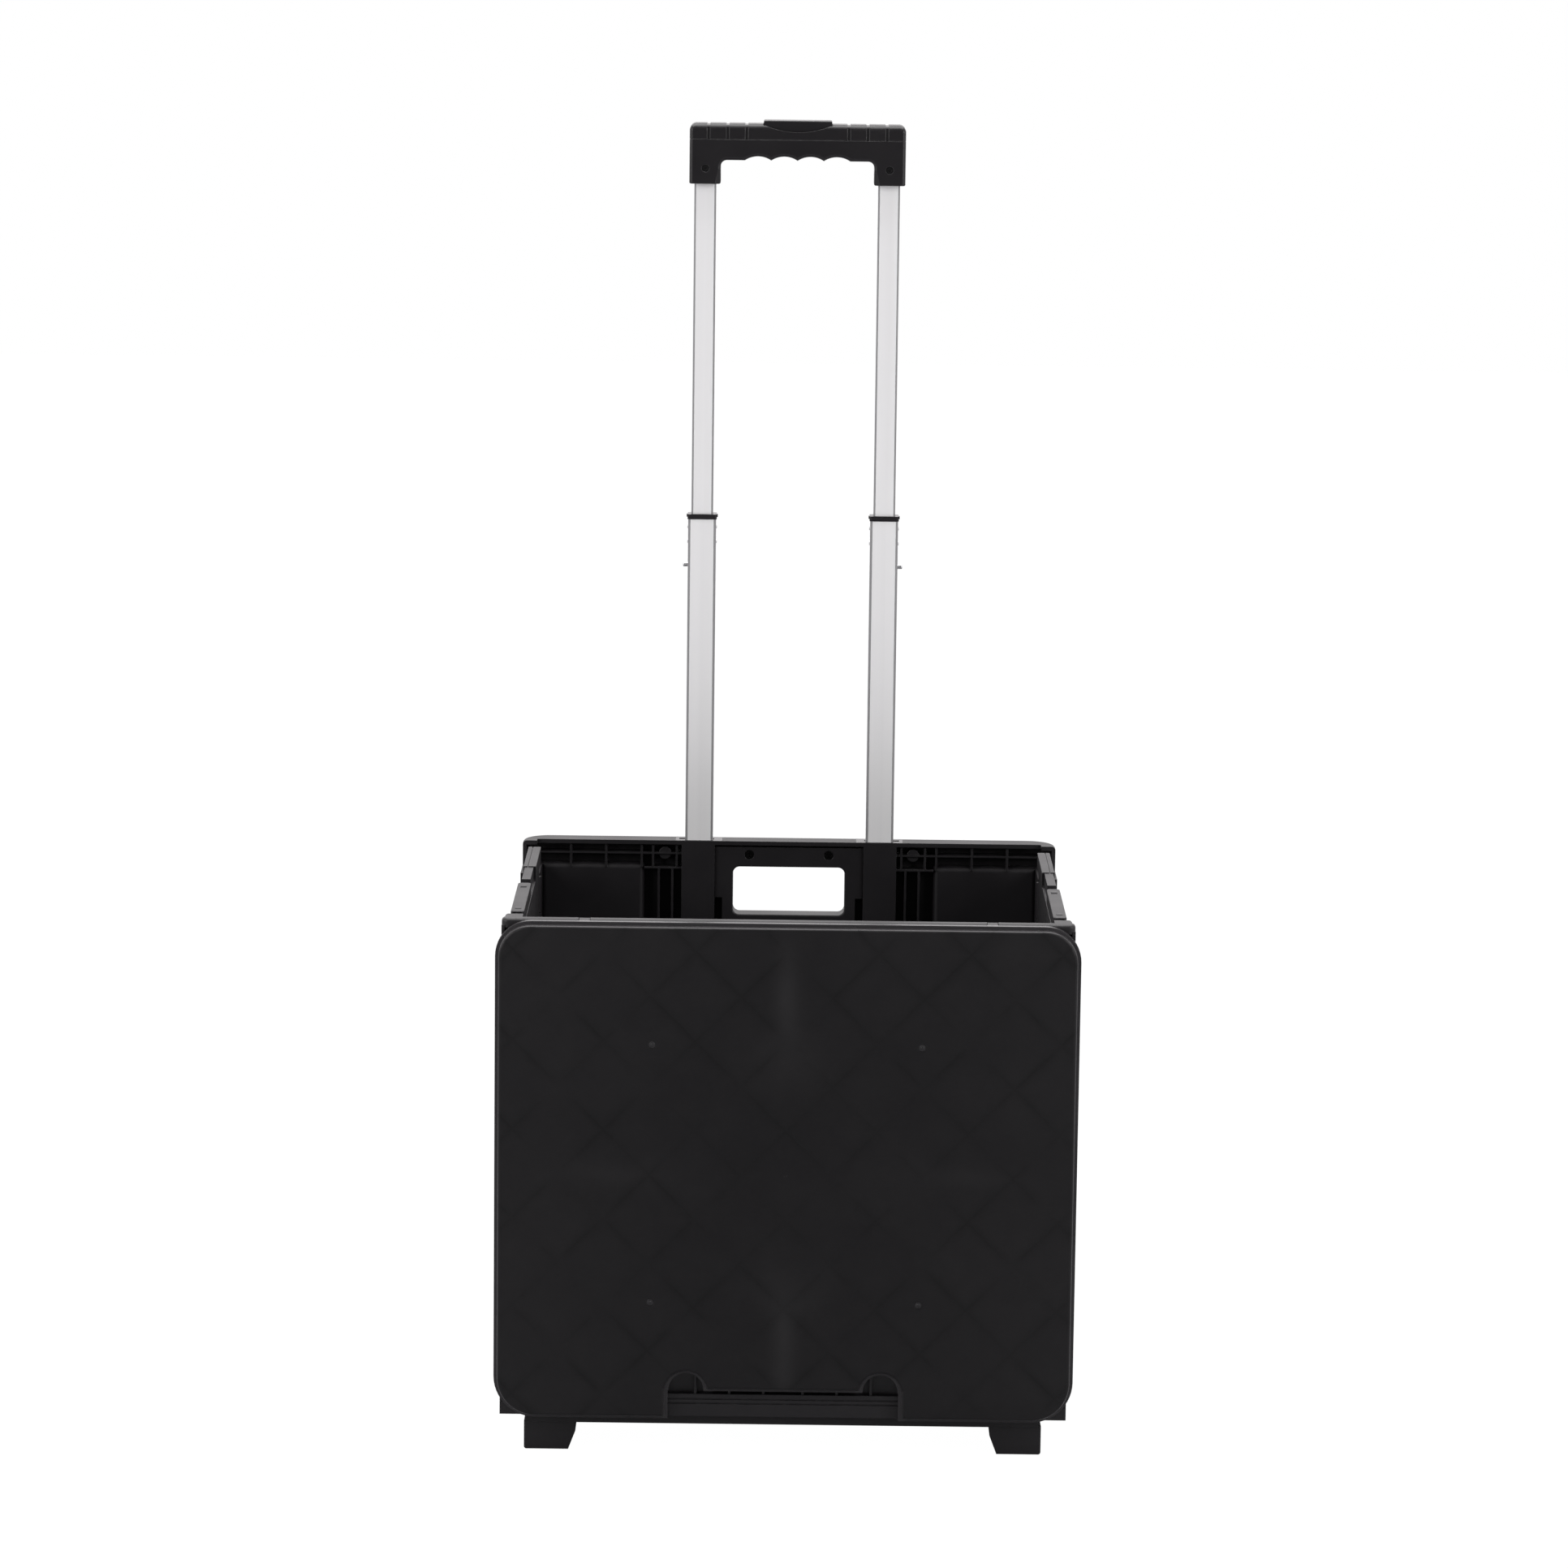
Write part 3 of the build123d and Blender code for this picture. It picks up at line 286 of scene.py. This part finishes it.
wire(edges, rounding.outputs["Normal"], outlet.inputs["Normal"])
wire(edges, edge_mask, outlet.inputs["Edge"])
wire(edges, wear_mask, outlet.inputs["Wear"])

# %% [markdown]
# **Dust.** A thin film settles on faces that look up and in the hollows of the grain. The mask is the
# upward part of the object's own normal times a patchy noise, and it is kept faint: this crate is new.

# %% Dust film
dust, inlet, outlet = new_group("dust_film", {"Patches Per Metre": 34.0}, {"Mask": "Float"})
where = add(dust, "ShaderNodeTexCoord")
facing = add(dust, "ShaderNodeSeparateXYZ")
wire(dust, where.outputs["Normal"], facing.inputs[0])
upward = maths(dust, "MULTIPLY_ADD", facing.outputs["Z"], 0.8, 0.2, clamp=True)
patches = add(dust, "ShaderNodeTexNoise")
patches.inputs["Detail"].default_value = 6.0
patches.inputs["Roughness"].default_value = 0.62
wire(dust, where.outputs["Object"], patches.inputs["Vector"])
wire(dust, inlet.outputs["Patches Per Metre"], patches.inputs["Scale"])
settled = maths(dust, "SUBTRACT", patches.outputs["Fac"], 0.38, clamp=True)
wire(dust, maths(dust, "MULTIPLY", upward, settled), outlet.inputs["Mask"])

# %% [markdown]
# **Drawn metal.** An extruded tube carries fine lines along its length from the die. A noise stretched a
# few hundred times along Z gives those lines; the tubes all stand upright, so one mapping serves them.

# %% Drawn metal
drawn, inlet, outlet = new_group(
    "drawn_lines", {"Across": 2600.0, "Along": 9.0}, {"Lines": "Float", "Bands": "Float"})
where = add(drawn, "ShaderNodeTexCoord")
stretch = add(drawn, "ShaderNodeCombineXYZ")
for axis, source in (("X", "Across"), ("Y", "Across"), ("Z", "Along")):
    wire(drawn, inlet.outputs[source], stretch.inputs[axis])
scaled = add(drawn, "ShaderNodeVectorMath", operation="MULTIPLY")
wire(drawn, where.outputs["Object"], scaled.inputs[0])
wire(drawn, stretch, scaled.inputs[1])
lines = add(drawn, "ShaderNodeTexNoise")
lines.inputs["Scale"].default_value = 1.0
lines.inputs["Detail"].default_value = 3.0
wire(drawn, scaled, lines.inputs["Vector"])
bands = add(drawn, "ShaderNodeTexNoise")
bands.inputs["Scale"].default_value = 0.06
bands.inputs["Detail"].default_value = 2.0
wire(drawn, scaled, bands.inputs["Vector"])
wire(drawn, lines.outputs["Fac"], outlet.inputs["Lines"])
wire(drawn, bands.outputs["Fac"], outlet.inputs["Bands"])
print("shared effects:", [g.name for g in bpy.data.node_groups if g.type == "SHADER"])


# %% [markdown]
# ## Plastic finishes
#
# All the black plastics are built by one function, because they are one family: a very dark base, a
# roughness that drifts a little, a grain in the bump, and smoother edges that turn lighter where they are worn.
# What changes from piece to piece is how coarse the grain is, how shiny the mould was and how much a painted
# highlight lightens every edge, which happens only on the grip. Numbers that are the same all over, such as the
# specular level, are set straight on the shader.

# %% Black plastic
def black_plastic(name, tone, roughness, grain_depth, grain_per_metre=1900.0, edge_radius=0.0007,
                  edge_wear_and_highlight_tone=0.045, specular=0.28, edge_highlight_share=0.0):
    """A dark moulded plastic. Returns (material, shader, node that makes the bump)."""
    material = bpy.data.materials.new(name)
    material.use_nodes = True
    tree = material.node_tree
    tree.nodes.clear()
    shader = add(tree, "ShaderNodeBsdfPrincipled")
    shader.inputs["Specular IOR Level"].default_value = specular
    wire(tree, shader, add(tree, "ShaderNodeOutputMaterial").inputs["Surface"])
    surface_grain = place(tree, grain, Grain_Per_Metre=grain_per_metre)
    edge = place(tree, edges, Radius=edge_radius)
    film = place(tree, dust)

    base = add(tree, "ShaderNodeMix", data_type="RGBA")
    base.inputs["A"].default_value = (tone * 0.88, tone * 0.78, tone * 0.92, 1.0)
    base.inputs["B"].default_value = (tone * 1.18, tone * 1.05, tone * 1.22, 1.0)
    wire(tree, surface_grain.outputs["Sheen"], base.inputs["Factor"])
    # The edges are lightened towards a pale tone. Where rubbed this is real wear; through the edge highlight share it
    # is a painted highlight along every edge.
    worn_and_highlit = add(tree, "ShaderNodeMix", data_type="RGBA")
    worn_and_highlit.inputs["B"].default_value = (edge_wear_and_highlight_tone, edge_wear_and_highlight_tone * 0.98, edge_wear_and_highlight_tone, 1.0)
    rubbed = maths(tree, "MULTIPLY", edge.outputs["Wear"], 0.55)
    share = maths(tree, "MULTIPLY_ADD", edge.outputs["Edge"], edge_highlight_share, rubbed, clamp=True)
    wire(tree, share, worn_and_highlit.inputs["Factor"])
    wire(tree, base.outputs["Result"], worn_and_highlit.inputs["A"])
    dusty = add(tree, "ShaderNodeMix", data_type="RGBA")
    dusty.inputs["B"].default_value = (0.20, 0.19, 0.18, 1.0)
    wire(tree, maths(tree, "MULTIPLY", film.outputs["Mask"], 0.12), dusty.inputs["Factor"])
    wire(tree, worn_and_highlit.outputs["Result"], dusty.inputs["A"])
    wire(tree, dusty.outputs["Result"], shader.inputs["Base Color"])

    drift = maths(tree, "MULTIPLY_ADD", surface_grain.outputs["Sheen"], 0.16, roughness - 0.08)
    polished = maths(tree, "MULTIPLY_ADD", edge.outputs["Edge"], -0.10, drift)
    wire(tree, polished, shader.inputs["Roughness"])

    bump = add(tree, "ShaderNodeBump")
    bump.inputs["Strength"].default_value = 0.35
    bump.inputs["Distance"].default_value = grain_depth
    wire(tree, surface_grain.outputs["Height"], bump.inputs["Height"])
    wire(tree, edge.outputs["Normal"], bump.inputs["Normal"])
    wire(tree, bump, shader.inputs["Normal"])
    return material, shader, bump


wall_plastic, _, _ = black_plastic("grained_wall_plastic", 0.0075, 0.46, 0.00010)
# The grip gets the palest edge tone and a painted highlight along every edge.
grip_plastic, _, _ = black_plastic(
    "satin_grip_plastic_edge_highlight", 0.0066, 0.33, 0.00006, 2600.0, 0.0006, edge_wear_and_highlight_tone=0.085, edge_highlight_share=0.7)
fitting_plastic, _, _ = black_plastic("smooth_fitting_plastic", 0.0085, 0.27, 0.00002, 3200.0, 0.0005)
hub_plastic, _, _ = black_plastic("wheel_hub_plastic", 0.022, 0.40, 0.00008, 1500.0, 0.0008)

# %% [markdown]
# ** The lid** is the same plastic with the story of its moulding written on it. Ribs behind the plate pull
# the cooling surface in, so a faint lattice of diamonds shows on the front: a shallow sink in the bump, with
# painted shade darkening the colour along it. Five gates feed the mould, and where their melts meet they
# leave pale, slightly glossier streaks. Both are worked out from distances: a diamond line is where the sum
# or the difference of x and z is a half pitch past a whole number, as the ribs behind it are. A streak is a
# bell curve of the distance from a line, and it opens towards the middle.
# The rolled edge was polished in the mould, so a mask of the depth behind the face makes it glossier, and the
# same mask lifts its colour to a pale purple grey: a painted highlight.

# %% Lid plastic
lid_low, lid_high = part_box("lid")
lid_middle_z = (lid_low.z + lid_high.z) / 2
lattice_pitch = 0.069
funnel_start = 0.116
streak_middle, streak_reach, streak_width = 0.122, 0.056, 0.0085
lid_plastic, lid_shader, lid_bump = black_plastic(
    "lid_plastic", 0.0042, 0.44, 0.00012, 1500.0, 0.0009, specular=0.17)


def lid_marks():
    """A node group with the sink lattice and the masks of the streaks, of a face that turns paler outwards and of the
    rolled rim.
    """
    group, inlet, outlet = new_group(
        "lid_flow_marks", {"Pitch": lattice_pitch},
        {"Sink": "Float", "Streak": "Float", "Paler Outwards": "Float", "Rim": "Float"})
    where = add(group, "ShaderNodeTexCoord")
    parts = add(group, "ShaderNodeSeparateXYZ")
    wire(group, where.outputs["Object"], parts.inputs[0])
    x = parts.outputs["X"]
    z = maths(group, "SUBTRACT", parts.outputs["Z"], lid_middle_z)
    wander = add(group, "ShaderNodeTexNoise")
    wander.inputs["Scale"].default_value = 26.0
    wire(group, where.outputs["Object"], wander.inputs["Vector"])
    shift = maths(group, "MULTIPLY_ADD", wander.outputs["Fac"], 0.006, -0.003)

    def diagonal(operation):
        """How near a point lies to a rib that runs one way across the lid: 1 on the rib, 0 midway."""
        along = maths(group, operation, x, z)
        turns = maths(group, "DIVIDE", along, inlet.outputs["Pitch"])
        phase = maths(group, "FRACT", maths(group, "ADD", turns, 20.0))
        off = maths(group, "ABSOLUTE", maths(group, "SUBTRACT", phase, 0.5))
        return maths(group, "POWER", maths(group, "SUBTRACT", 1.0, maths(group, "MULTIPLY", off, 2.0)), 7.0)

    def streak(across, along):
        """A bell curve across a line that is narrow near the rim and opens like a funnel towards the middle."""
        far = maths(group, "ABSOLUTE", along)
        inside = maths(group, "MAXIMUM", maths(group, "SUBTRACT", funnel_start, far), 0.0)
        width = maths(group, "MULTIPLY_ADD", inside, 0.55, streak_width)
        narrow = maths(group, "POWER", maths(group, "DIVIDE", maths(group, "ADD", across, shift), width), 2.0)
        run = maths(group, "DIVIDE", maths(group, "SUBTRACT", far, streak_middle), streak_reach)
        fade = maths(group, "POWER", run, 4.0)
        bell = maths(group, "EXPONENT", maths(group, "MULTIPLY", maths(group, "ADD", narrow, fade), -1.0))
        return maths(group, "DIVIDE", bell, maths(group, "MULTIPLY_ADD", inside, 16.0, 1.0))

    ribs = maths(group, "MAXIMUM", diagonal("ADD"), diagonal("SUBTRACT"))
    uneven = maths(group, "MULTIPLY_ADD", wander.outputs["Fac"], 3.6, -1.25, clamp=True)
    wire(group, maths(group, "MULTIPLY", ribs, uneven), outlet.inputs["Sink"])
    upright = streak(x, z)
    level = maths(group, "MULTIPLY", streak(z, x), 0.35)
    total = maths(group, "ADD", upright, level)
    patchy = maths(group, "MULTIPLY", total, maths(group, "MULTIPLY_ADD", wander.outputs["Fac"], 1.2, 0.3))
    wire(group, patchy, outlet.inputs["Streak"])
    # A cloudy mask that grows from the middle of the lid towards its edges.
    reach = maths(group, "SQRT", maths(group, "ADD", maths(group, "MULTIPLY", x, x), maths(group, "MULTIPLY", z, z)))
    outward = maths(group, "DIVIDE", maths(group, "SUBTRACT", reach, 0.07), 0.20, clamp=True)
    cloud = maths(group, "MULTIPLY_ADD", wander.outputs["Fac"], 0.9, 0.4)
    wire(group, maths(group, "MULTIPLY", outward, cloud), outlet.inputs["Paler Outwards"])
    behind = maths(group, "SUBTRACT", parts.outputs["Y"], lid_low.y + 0.0003)
    wire(group, maths(group, "DIVIDE", behind, 0.0012, clamp=True), outlet.inputs["Rim"])
    return group


tree = lid_plastic.node_tree
marks = place(tree, lid_marks())
colour_in = lid_shader.inputs["Base Color"].links[0].from_socket
# The colour turns paler along the streaks and, in clouds, towards the lid's edges.
paled = add(tree, "ShaderNodeMix", data_type="RGBA")
paled.inputs["B"].default_value = (0.05, 0.049, 0.05, 1.0)
wire(tree, colour_in, paled.inputs["A"])
streak_share = maths(tree, "MULTIPLY", marks.outputs["Streak"], 0.15)
wire(tree, maths(tree, "MULTIPLY_ADD", marks.outputs["Paler Outwards"], 0.075, streak_share), paled.inputs["Factor"])
# Along the sink lattice the colour is pulled towards near black: painted shade in the shallow sinks.
shaded = add(tree, "ShaderNodeMix", data_type="RGBA")
shaded.inputs["B"].default_value = (0.0015, 0.0015, 0.0016, 1.0)
wire(tree, paled.outputs["Result"], shaded.inputs["A"])
wire(tree, maths(tree, "MULTIPLY", marks.outputs["Sink"], 0.6), shaded.inputs["Factor"])
# Along the rolled rim the colour is lifted to a pale purple grey: a painted highlight.
rolled = add(tree, "ShaderNodeMix", data_type="RGBA")
rolled.inputs["B"].default_value = (0.050, 0.047, 0.050, 1.0)
wire(tree, shaded.outputs["Result"], rolled.inputs["A"])
wire(tree, maths(tree, "MULTIPLY", marks.outputs["Rim"], 0.5), rolled.inputs["Factor"])
wire(tree, rolled.outputs["Result"], lid_shader.inputs["Base Color"])
rough_in = lid_shader.inputs["Roughness"].links[0].from_socket
glossier = maths(tree, "MULTIPLY_ADD", marks.outputs["Streak"], -0.07, rough_in)
on_rib = maths(tree, "MULTIPLY_ADD", marks.outputs["Sink"], 0.035, glossier)
wire(tree, maths(tree, "MULTIPLY_ADD", marks.outputs["Rim"], -0.20, on_rib), lid_shader.inputs["Roughness"])
sink_bump = add(tree, "ShaderNodeBump", invert=True)
sink_bump.inputs["Strength"].default_value = 0.5
sink_bump.inputs["Distance"].default_value = 0.0006
wire(tree, marks.outputs["Sink"], sink_bump.inputs["Height"])
wire(tree, lid_bump.inputs["Normal"].links[0].from_socket, sink_bump.inputs["Normal"])
wire(tree, sink_bump, lid_bump.inputs["Normal"])
print("plastics:", [m.name for m in bpy.data.materials if "plastic" in m.name])

# %% [markdown]
# ## Metal and rubber
#
# The tubes are satin anodised: brushed along their length, then etched, so they look half metal and half
# white paint. A part metallic shader says that better than a pure one. Their four cut-off corners are given a
# darker colour, a painted shade for the dimmer room that they mirror. The product of the normal's x and y is
# nothing on a flat side and a half on a slanting one, so it finds them. The steel parts are plated and bright,
# a few screws are blackened instead, and the tread is a dull soft rubber whose colour is a little lifted by
# bloom.

# %% Aluminium
def anodised(name):
    """Satin anodised aluminium with lengthwise lines."""
    material = bpy.data.materials.new(name)
    material.use_nodes = True
    tree = material.node_tree
    tree.nodes.clear()
    shader = add(tree, "ShaderNodeBsdfPrincipled")
    shader.inputs["Metallic"].default_value = 0.34
    wire(tree, shader, add(tree, "ShaderNodeOutputMaterial").inputs["Surface"])
    marks = place(tree, drawn)
    edge = place(tree, edges, Radius=0.0003, Wear_Per_Metre=400.0)
    base = add(tree, "ShaderNodeMix", data_type="RGBA")
    base.inputs["A"].default_value = (0.78, 0.775, 0.78, 1.0)
    base.inputs["B"].default_value = (0.87, 0.865, 0.87, 1.0)
    wire(tree, marks.outputs["Bands"], base.inputs["Factor"])
    facing = add(tree, "ShaderNodeSeparateXYZ")
    wire(tree, add(tree, "ShaderNodeTexCoord").outputs["Normal"], facing.inputs[0])
    slant = maths(tree, "ABSOLUTE", maths(tree, "MULTIPLY", facing.outputs["X"], facing.outputs["Y"]))
    # The slanting corner faces are pulled towards a dark grey: painted shade for the dimmer room they mirror.
    corner = add(tree, "ShaderNodeMix", data_type="RGBA")
    corner.inputs["B"].default_value = (0.13, 0.13, 0.135, 1.0)
    wire(tree, base.outputs["Result"], corner.inputs["A"])
    wire(tree, maths(tree, "MULTIPLY", slant, 1.7, clamp=True), corner.inputs["Factor"])
    wire(tree, corner.outputs["Result"], shader.inputs["Base Color"])
    wire(tree, maths(tree, "MULTIPLY_ADD", marks.outputs["Lines"], 0.16, 0.27), shader.inputs["Roughness"])
    bump = add(tree, "ShaderNodeBump")
    bump.inputs["Strength"].default_value = 0.18
    bump.inputs["Distance"].default_value = 0.00003
    wire(tree, marks.outputs["Lines"], bump.inputs["Height"])
    wire(tree, edge.outputs["Normal"], bump.inputs["Normal"])
    wire(tree, bump, shader.inputs["Normal"])
    return material


aluminium = anodised("satin_anodised_aluminium")


# %% Steel
def plated_steel(name, dull, bright):
    """Plated steel whose tone wanders between dull and bright, with a faint mottle in its gloss."""
    material = bpy.data.materials.new(name)
    material.use_nodes = True
    tree = material.node_tree
    tree.nodes.clear()
    shader = add(tree, "ShaderNodeBsdfPrincipled")
    shader.inputs["Metallic"].default_value = 1.0
    wire(tree, shader, add(tree, "ShaderNodeOutputMaterial").inputs["Surface"])
    mottle = place(tree, grain, Grain_Per_Metre=900.0, Sheen_Per_Metre=90.0)
    edge = place(tree, edges, Radius=0.0003, Wear_Per_Metre=700.0)
    base = add(tree, "ShaderNodeMix", data_type="RGBA")
    base.inputs["A"].default_value = (dull, dull, dull * 1.02, 1.0)
    base.inputs["B"].default_value = (bright, bright, bright * 1.02, 1.0)
    wire(tree, mottle.outputs["Sheen"], base.inputs["Factor"])
    wire(tree, base.outputs["Result"], shader.inputs["Base Color"])
    wire(tree, maths(tree, "MULTIPLY_ADD", mottle.outputs["Height"], 0.22, 0.20), shader.inputs["Roughness"])
    bump = add(tree, "ShaderNodeBump")
    bump.inputs["Strength"].default_value = 0.2
    bump.inputs["Distance"].default_value = 0.00004
    wire(tree, mottle.outputs["Height"], bump.inputs["Height"])
    wire(tree, edge.outputs["Normal"], bump.inputs["Normal"])
    wire(tree, bump, shader.inputs["Normal"])
    return material


steel = plated_steel("zinc_plated_steel", 0.46, 0.64)
black_steel = plated_steel("blackened_steel", 0.018, 0.034)


# %% Tread rubber
def soft_rubber(name):
    """Dull black rubber with a pale bloom where it is rubbed."""
    material, shader, bump = black_plastic(name, 0.020, 0.74, 0.00022, 1100.0, 0.0010, 0.085, 0.22)
    bump.inputs["Strength"].default_value = 0.55
    return material


rubber = soft_rubber("tread_rubber")

# %% [markdown]
# ## Finishing the CAD pieces
#
# A CAD piece keeps its mesh exactly as it was packed. Its finish is chosen by the slot that the record
# gives it, so the record and the picture can't disagree, and the lid alone gets its own version.

# %% Assign finishes
finishes = {
    "black_plastic": wall_plastic, "grip_plastic": grip_plastic, "fitting_plastic": fitting_plastic,
    "hub_plastic": hub_plastic, "tread_rubber": rubber, "silver_aluminium": aluminium, "steel": steel,
    "black_screws": black_steel,
}
for part in frame["record"]["subparts"]:
    node = frame["nodes"][part["node"]]
    finish = lid_plastic if part["node"] == "lid" else finishes[part["material_slot"]]
    node.data.materials.clear()
    node.data.materials.append(finish)
print(len(frame["nodes"]), "CAD pieces have a finish")

# %% [markdown]
# ## Small pieces worked out as surfaces
#
# Three kinds of detail are too fine for the CAD model: the sprue nubs in the lid's dishes, the thumb pads on
# the slide locks and the pattern of the tread. A fourth, the button's spring, shortens on the real crate but
# here keeps one length.
# Each is a grid of points worked out with numpy. One helper
# turns such grids into a mesh: columns always close round, and rows either close too, as on a tyre, or end
# in flat caps. It then points the faces outwards and ties the piece to its body.

# %% Grids to mesh
def skin(name, grids, material, body, ring=False):
    """One mesh from grids of (row, column, 3) points. Each cell of a grid becomes a quad between neighbours."""
    faces, first = [], 0
    for grid in grids:
        number = first + np.arange(grid.shape[0] * grid.shape[1]).reshape(grid.shape[:2])
        first += number.size
        rows = np.vstack([number, number[:1]]) if ring else number
        beside = np.roll(rows, -1, axis=1)
        quads = np.stack([rows[:-1], beside[:-1], beside[1:], rows[1:]], axis=-1)
        faces += quads.reshape(-1, 4).tolist()
        if not ring:
            faces += [number[0, ::-1].tolist(), number[-1].tolist()]
    mesh = bpy.data.meshes.new(name)
    mesh.from_pydata(np.concatenate([grid.reshape(-1, 3) for grid in grids]).tolist(), [], faces)
    shell = bmesh.new()
    shell.from_mesh(mesh)
    bmesh.ops.recalc_face_normals(shell, faces=shell.faces)
    shell.to_mesh(mesh)
    shell.free()
    mesh.shade_smooth()
    mesh.set_sharp_from_angle(angle=radians(32))
    mesh.materials.append(material)
    piece = bpy.data.objects.new(name, mesh)
    bpy.context.scene.collection.objects.link(piece)
    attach(piece, body)
    print(name, len(mesh.polygons), "faces on", body)
    return piece


# %% [markdown]
# **Sprue nubs.** Where a gate fed the mould the lid has a shallow round dish, and the broken sprue stands in
# its middle on a low collar. Its tip stays under the face, so it never scratches what it is laid on. The
# profile runs from the buried edge of the collar up to the tip and is turned about an axis along Y.

# %% Sprue nubs
gate_x, gate_z, dish_depth = 0.102, 0.100, 0.0007
nub_radii = np.array([2.3, 2.3, 2.15, 1.9, 1.4, 1.05, 1.0, 0.85, 0.5]) * 0.001
nub_heights = np.array([-0.3, 0.36, 0.42, 0.38, 0.18, 0.20, 0.50, 0.61, 0.64]) * 0.001


def sprue_nub(x, z):
    """x and z are the centre plus the radius times cosine and sine; y is the dish's floor less the height."""
    around = np.linspace(0, 2 * pi, 32, endpoint=False)
    across, up = np.cos(around), np.sin(around)
    floor_y = lid_low.y + dish_depth
    height = np.broadcast_to(nub_heights[:, None], (nub_heights.size, around.size))
    return np.stack([x + nub_radii[:, None] * across, floor_y - height, z + nub_radii[:, None] * up], axis=-1)


nubs = [sprue_nub(x, lid_middle_z + z) for x in (-gate_x, gate_x) for z in (-gate_z, gate_z)]
# The nubs wear the grip's finish, whose painted edge highlight brightens their rims.
skin("lid_sprue_nubs", nubs, grip_plastic, "lid")

# %% [markdown]
# **Thumb pads.** Each slide lock has a small raised pad near either end, which tells the thumb where to
# push. A pad's plan is a superellipse, a shape between a circle and a square: the cosine and the sine are
# drawn out by a power below one. Its rows step inwards as they rise, which rounds the top edge.

# %% Thumb pads
pad_half_x, pad_half_y, pad_rise = 0.0026, 0.0036, 0.0003
pad_inset = np.array([1.0, 1.0, 0.97, 0.90])
pad_level = np.array([-0.8, 0.4, 0.8, 1.0]) * pad_rise


def thumb_pad(x, y, z):
    """A low pad at x, y whose plan is a superellipse of power four, standing on the level z."""
    around = np.linspace(0, 2 * pi, 48, endpoint=False)
    wide = np.sign(np.cos(around)) * np.abs(np.cos(around)) ** 0.5
    long = np.sign(np.sin(around)) * np.abs(np.sin(around)) ** 0.5
    rise = np.broadcast_to(z + pad_level[:, None], (pad_level.size, around.size))
    inset = pad_inset[:, None]
    return np.stack([x + pad_half_x * inset * wide, y + pad_half_y * inset * long, rise], axis=-1)


for side in ("left", "right"):
    near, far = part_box(side + "_slide_lock")
    pads = [thumb_pad((near.x + far.x) / 2, y, far.z) for y in (near.y + 0.014, far.y - 0.014)]
    skin(side + "_thumb_pads", pads, wall_plastic, side + "_lock")

# %% [markdown]
# **Tyres.** The soft tread is moulded over the hub with two grooves round it and a herringbone of slots, so
# that it grips and drains. The section is a superellipse, nearly a rounded rectangle, carried round the
# axle. Grooves and slots are bell curves that are taken off the radius, but only on the outer side.

# %% Tyres
bore_radius, pattern_depth = 0.0334, 0.0009
groove_x, groove_width = 0.0045, 0.0010
slot_count, slot_lean, slot_start_x = 48, 0.010, 0.0058


def tyre(node):
    """Radius and x go round the section as a superellipse; the depth of the pattern is taken off the radius."""
    near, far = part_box(node)
    centre = (near + far) / 2
    outer, inner, half_width = (far.z - near.z) / 2, bore_radius, (far.x - near.x) / 2
    section = np.linspace(0, 2 * pi, 72, endpoint=False)[:, None]
    turn = np.linspace(0, 2 * pi, 624, endpoint=False)[None, :]
    x = half_width * np.sign(np.cos(section)) * np.abs(np.cos(section)) ** (1 / 3)
    out = np.sign(np.sin(section)) * np.abs(np.sin(section)) ** (1 / 3)
    radius = (outer + inner) / 2 + (outer - inner) / 2 * out
    grooves = np.exp(-((np.abs(x) - groove_x) / groove_width) ** 4)
    slot_turn = np.mod(turn * slot_count / (2 * pi) + np.abs(x) / slot_lean, 1.0) - 0.5
    slots = np.exp(-(slot_turn / 0.13) ** 4) * (np.abs(x) > slot_start_x)
    depth = pattern_depth * np.maximum(grooves, slots) * np.clip(out * 6 - 4.6, 0, 1)
    radius = radius - depth
    x = np.broadcast_to(centre.x + x, radius.shape)
    return np.stack([x, centre.y + radius * np.cos(turn), centre.z + radius * np.sin(turn)], axis=-1)


for side in ("left", "right"):
    tread = skin(side + "_tread", [tyre(side + "_tyre")], rubber, side + "_wheel", ring=True)
    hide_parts(side + "_tyre")

# %% [markdown]
# ** Button spring.** A coil spring pushes the release button up. It sits on the grip and grows shorter as the
# button goes down, which a rigid copy can't do: it would sink into the grip. So a new coil stands for the
# rigid one and rides on the grip; it keeps one length, as nothing here moves it with the button's travel.

# %% Button spring
wire_radius, coil_radius, button_travel = 0.00045, 0.0032, 0.003


def coil_spring(node, turns):
    """The centre line climbs evenly as it goes round; the wire is a circle in the radial and upright directions."""
    near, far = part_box(node)
    centre = (near + far) / 2
    along = np.linspace(0, 1, 180)[:, None]
    around = np.linspace(0, 2 * pi, 12, endpoint=False)[None, :]
    angle = 2 * pi * turns * along
    reach = coil_radius + wire_radius * np.cos(around)
    climb = near.z + wire_radius + (far.z - near.z - 2 * wire_radius) * along
    return np.stack(
        [centre.x + reach * np.cos(angle), centre.y + reach * np.sin(angle), climb + wire_radius * np.sin(around)],
        axis=-1)


spring = skin("release_spring", [coil_spring("button_spring", 3.25)], steel, "upper_stage")
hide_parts("button_spring")
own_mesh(spring)
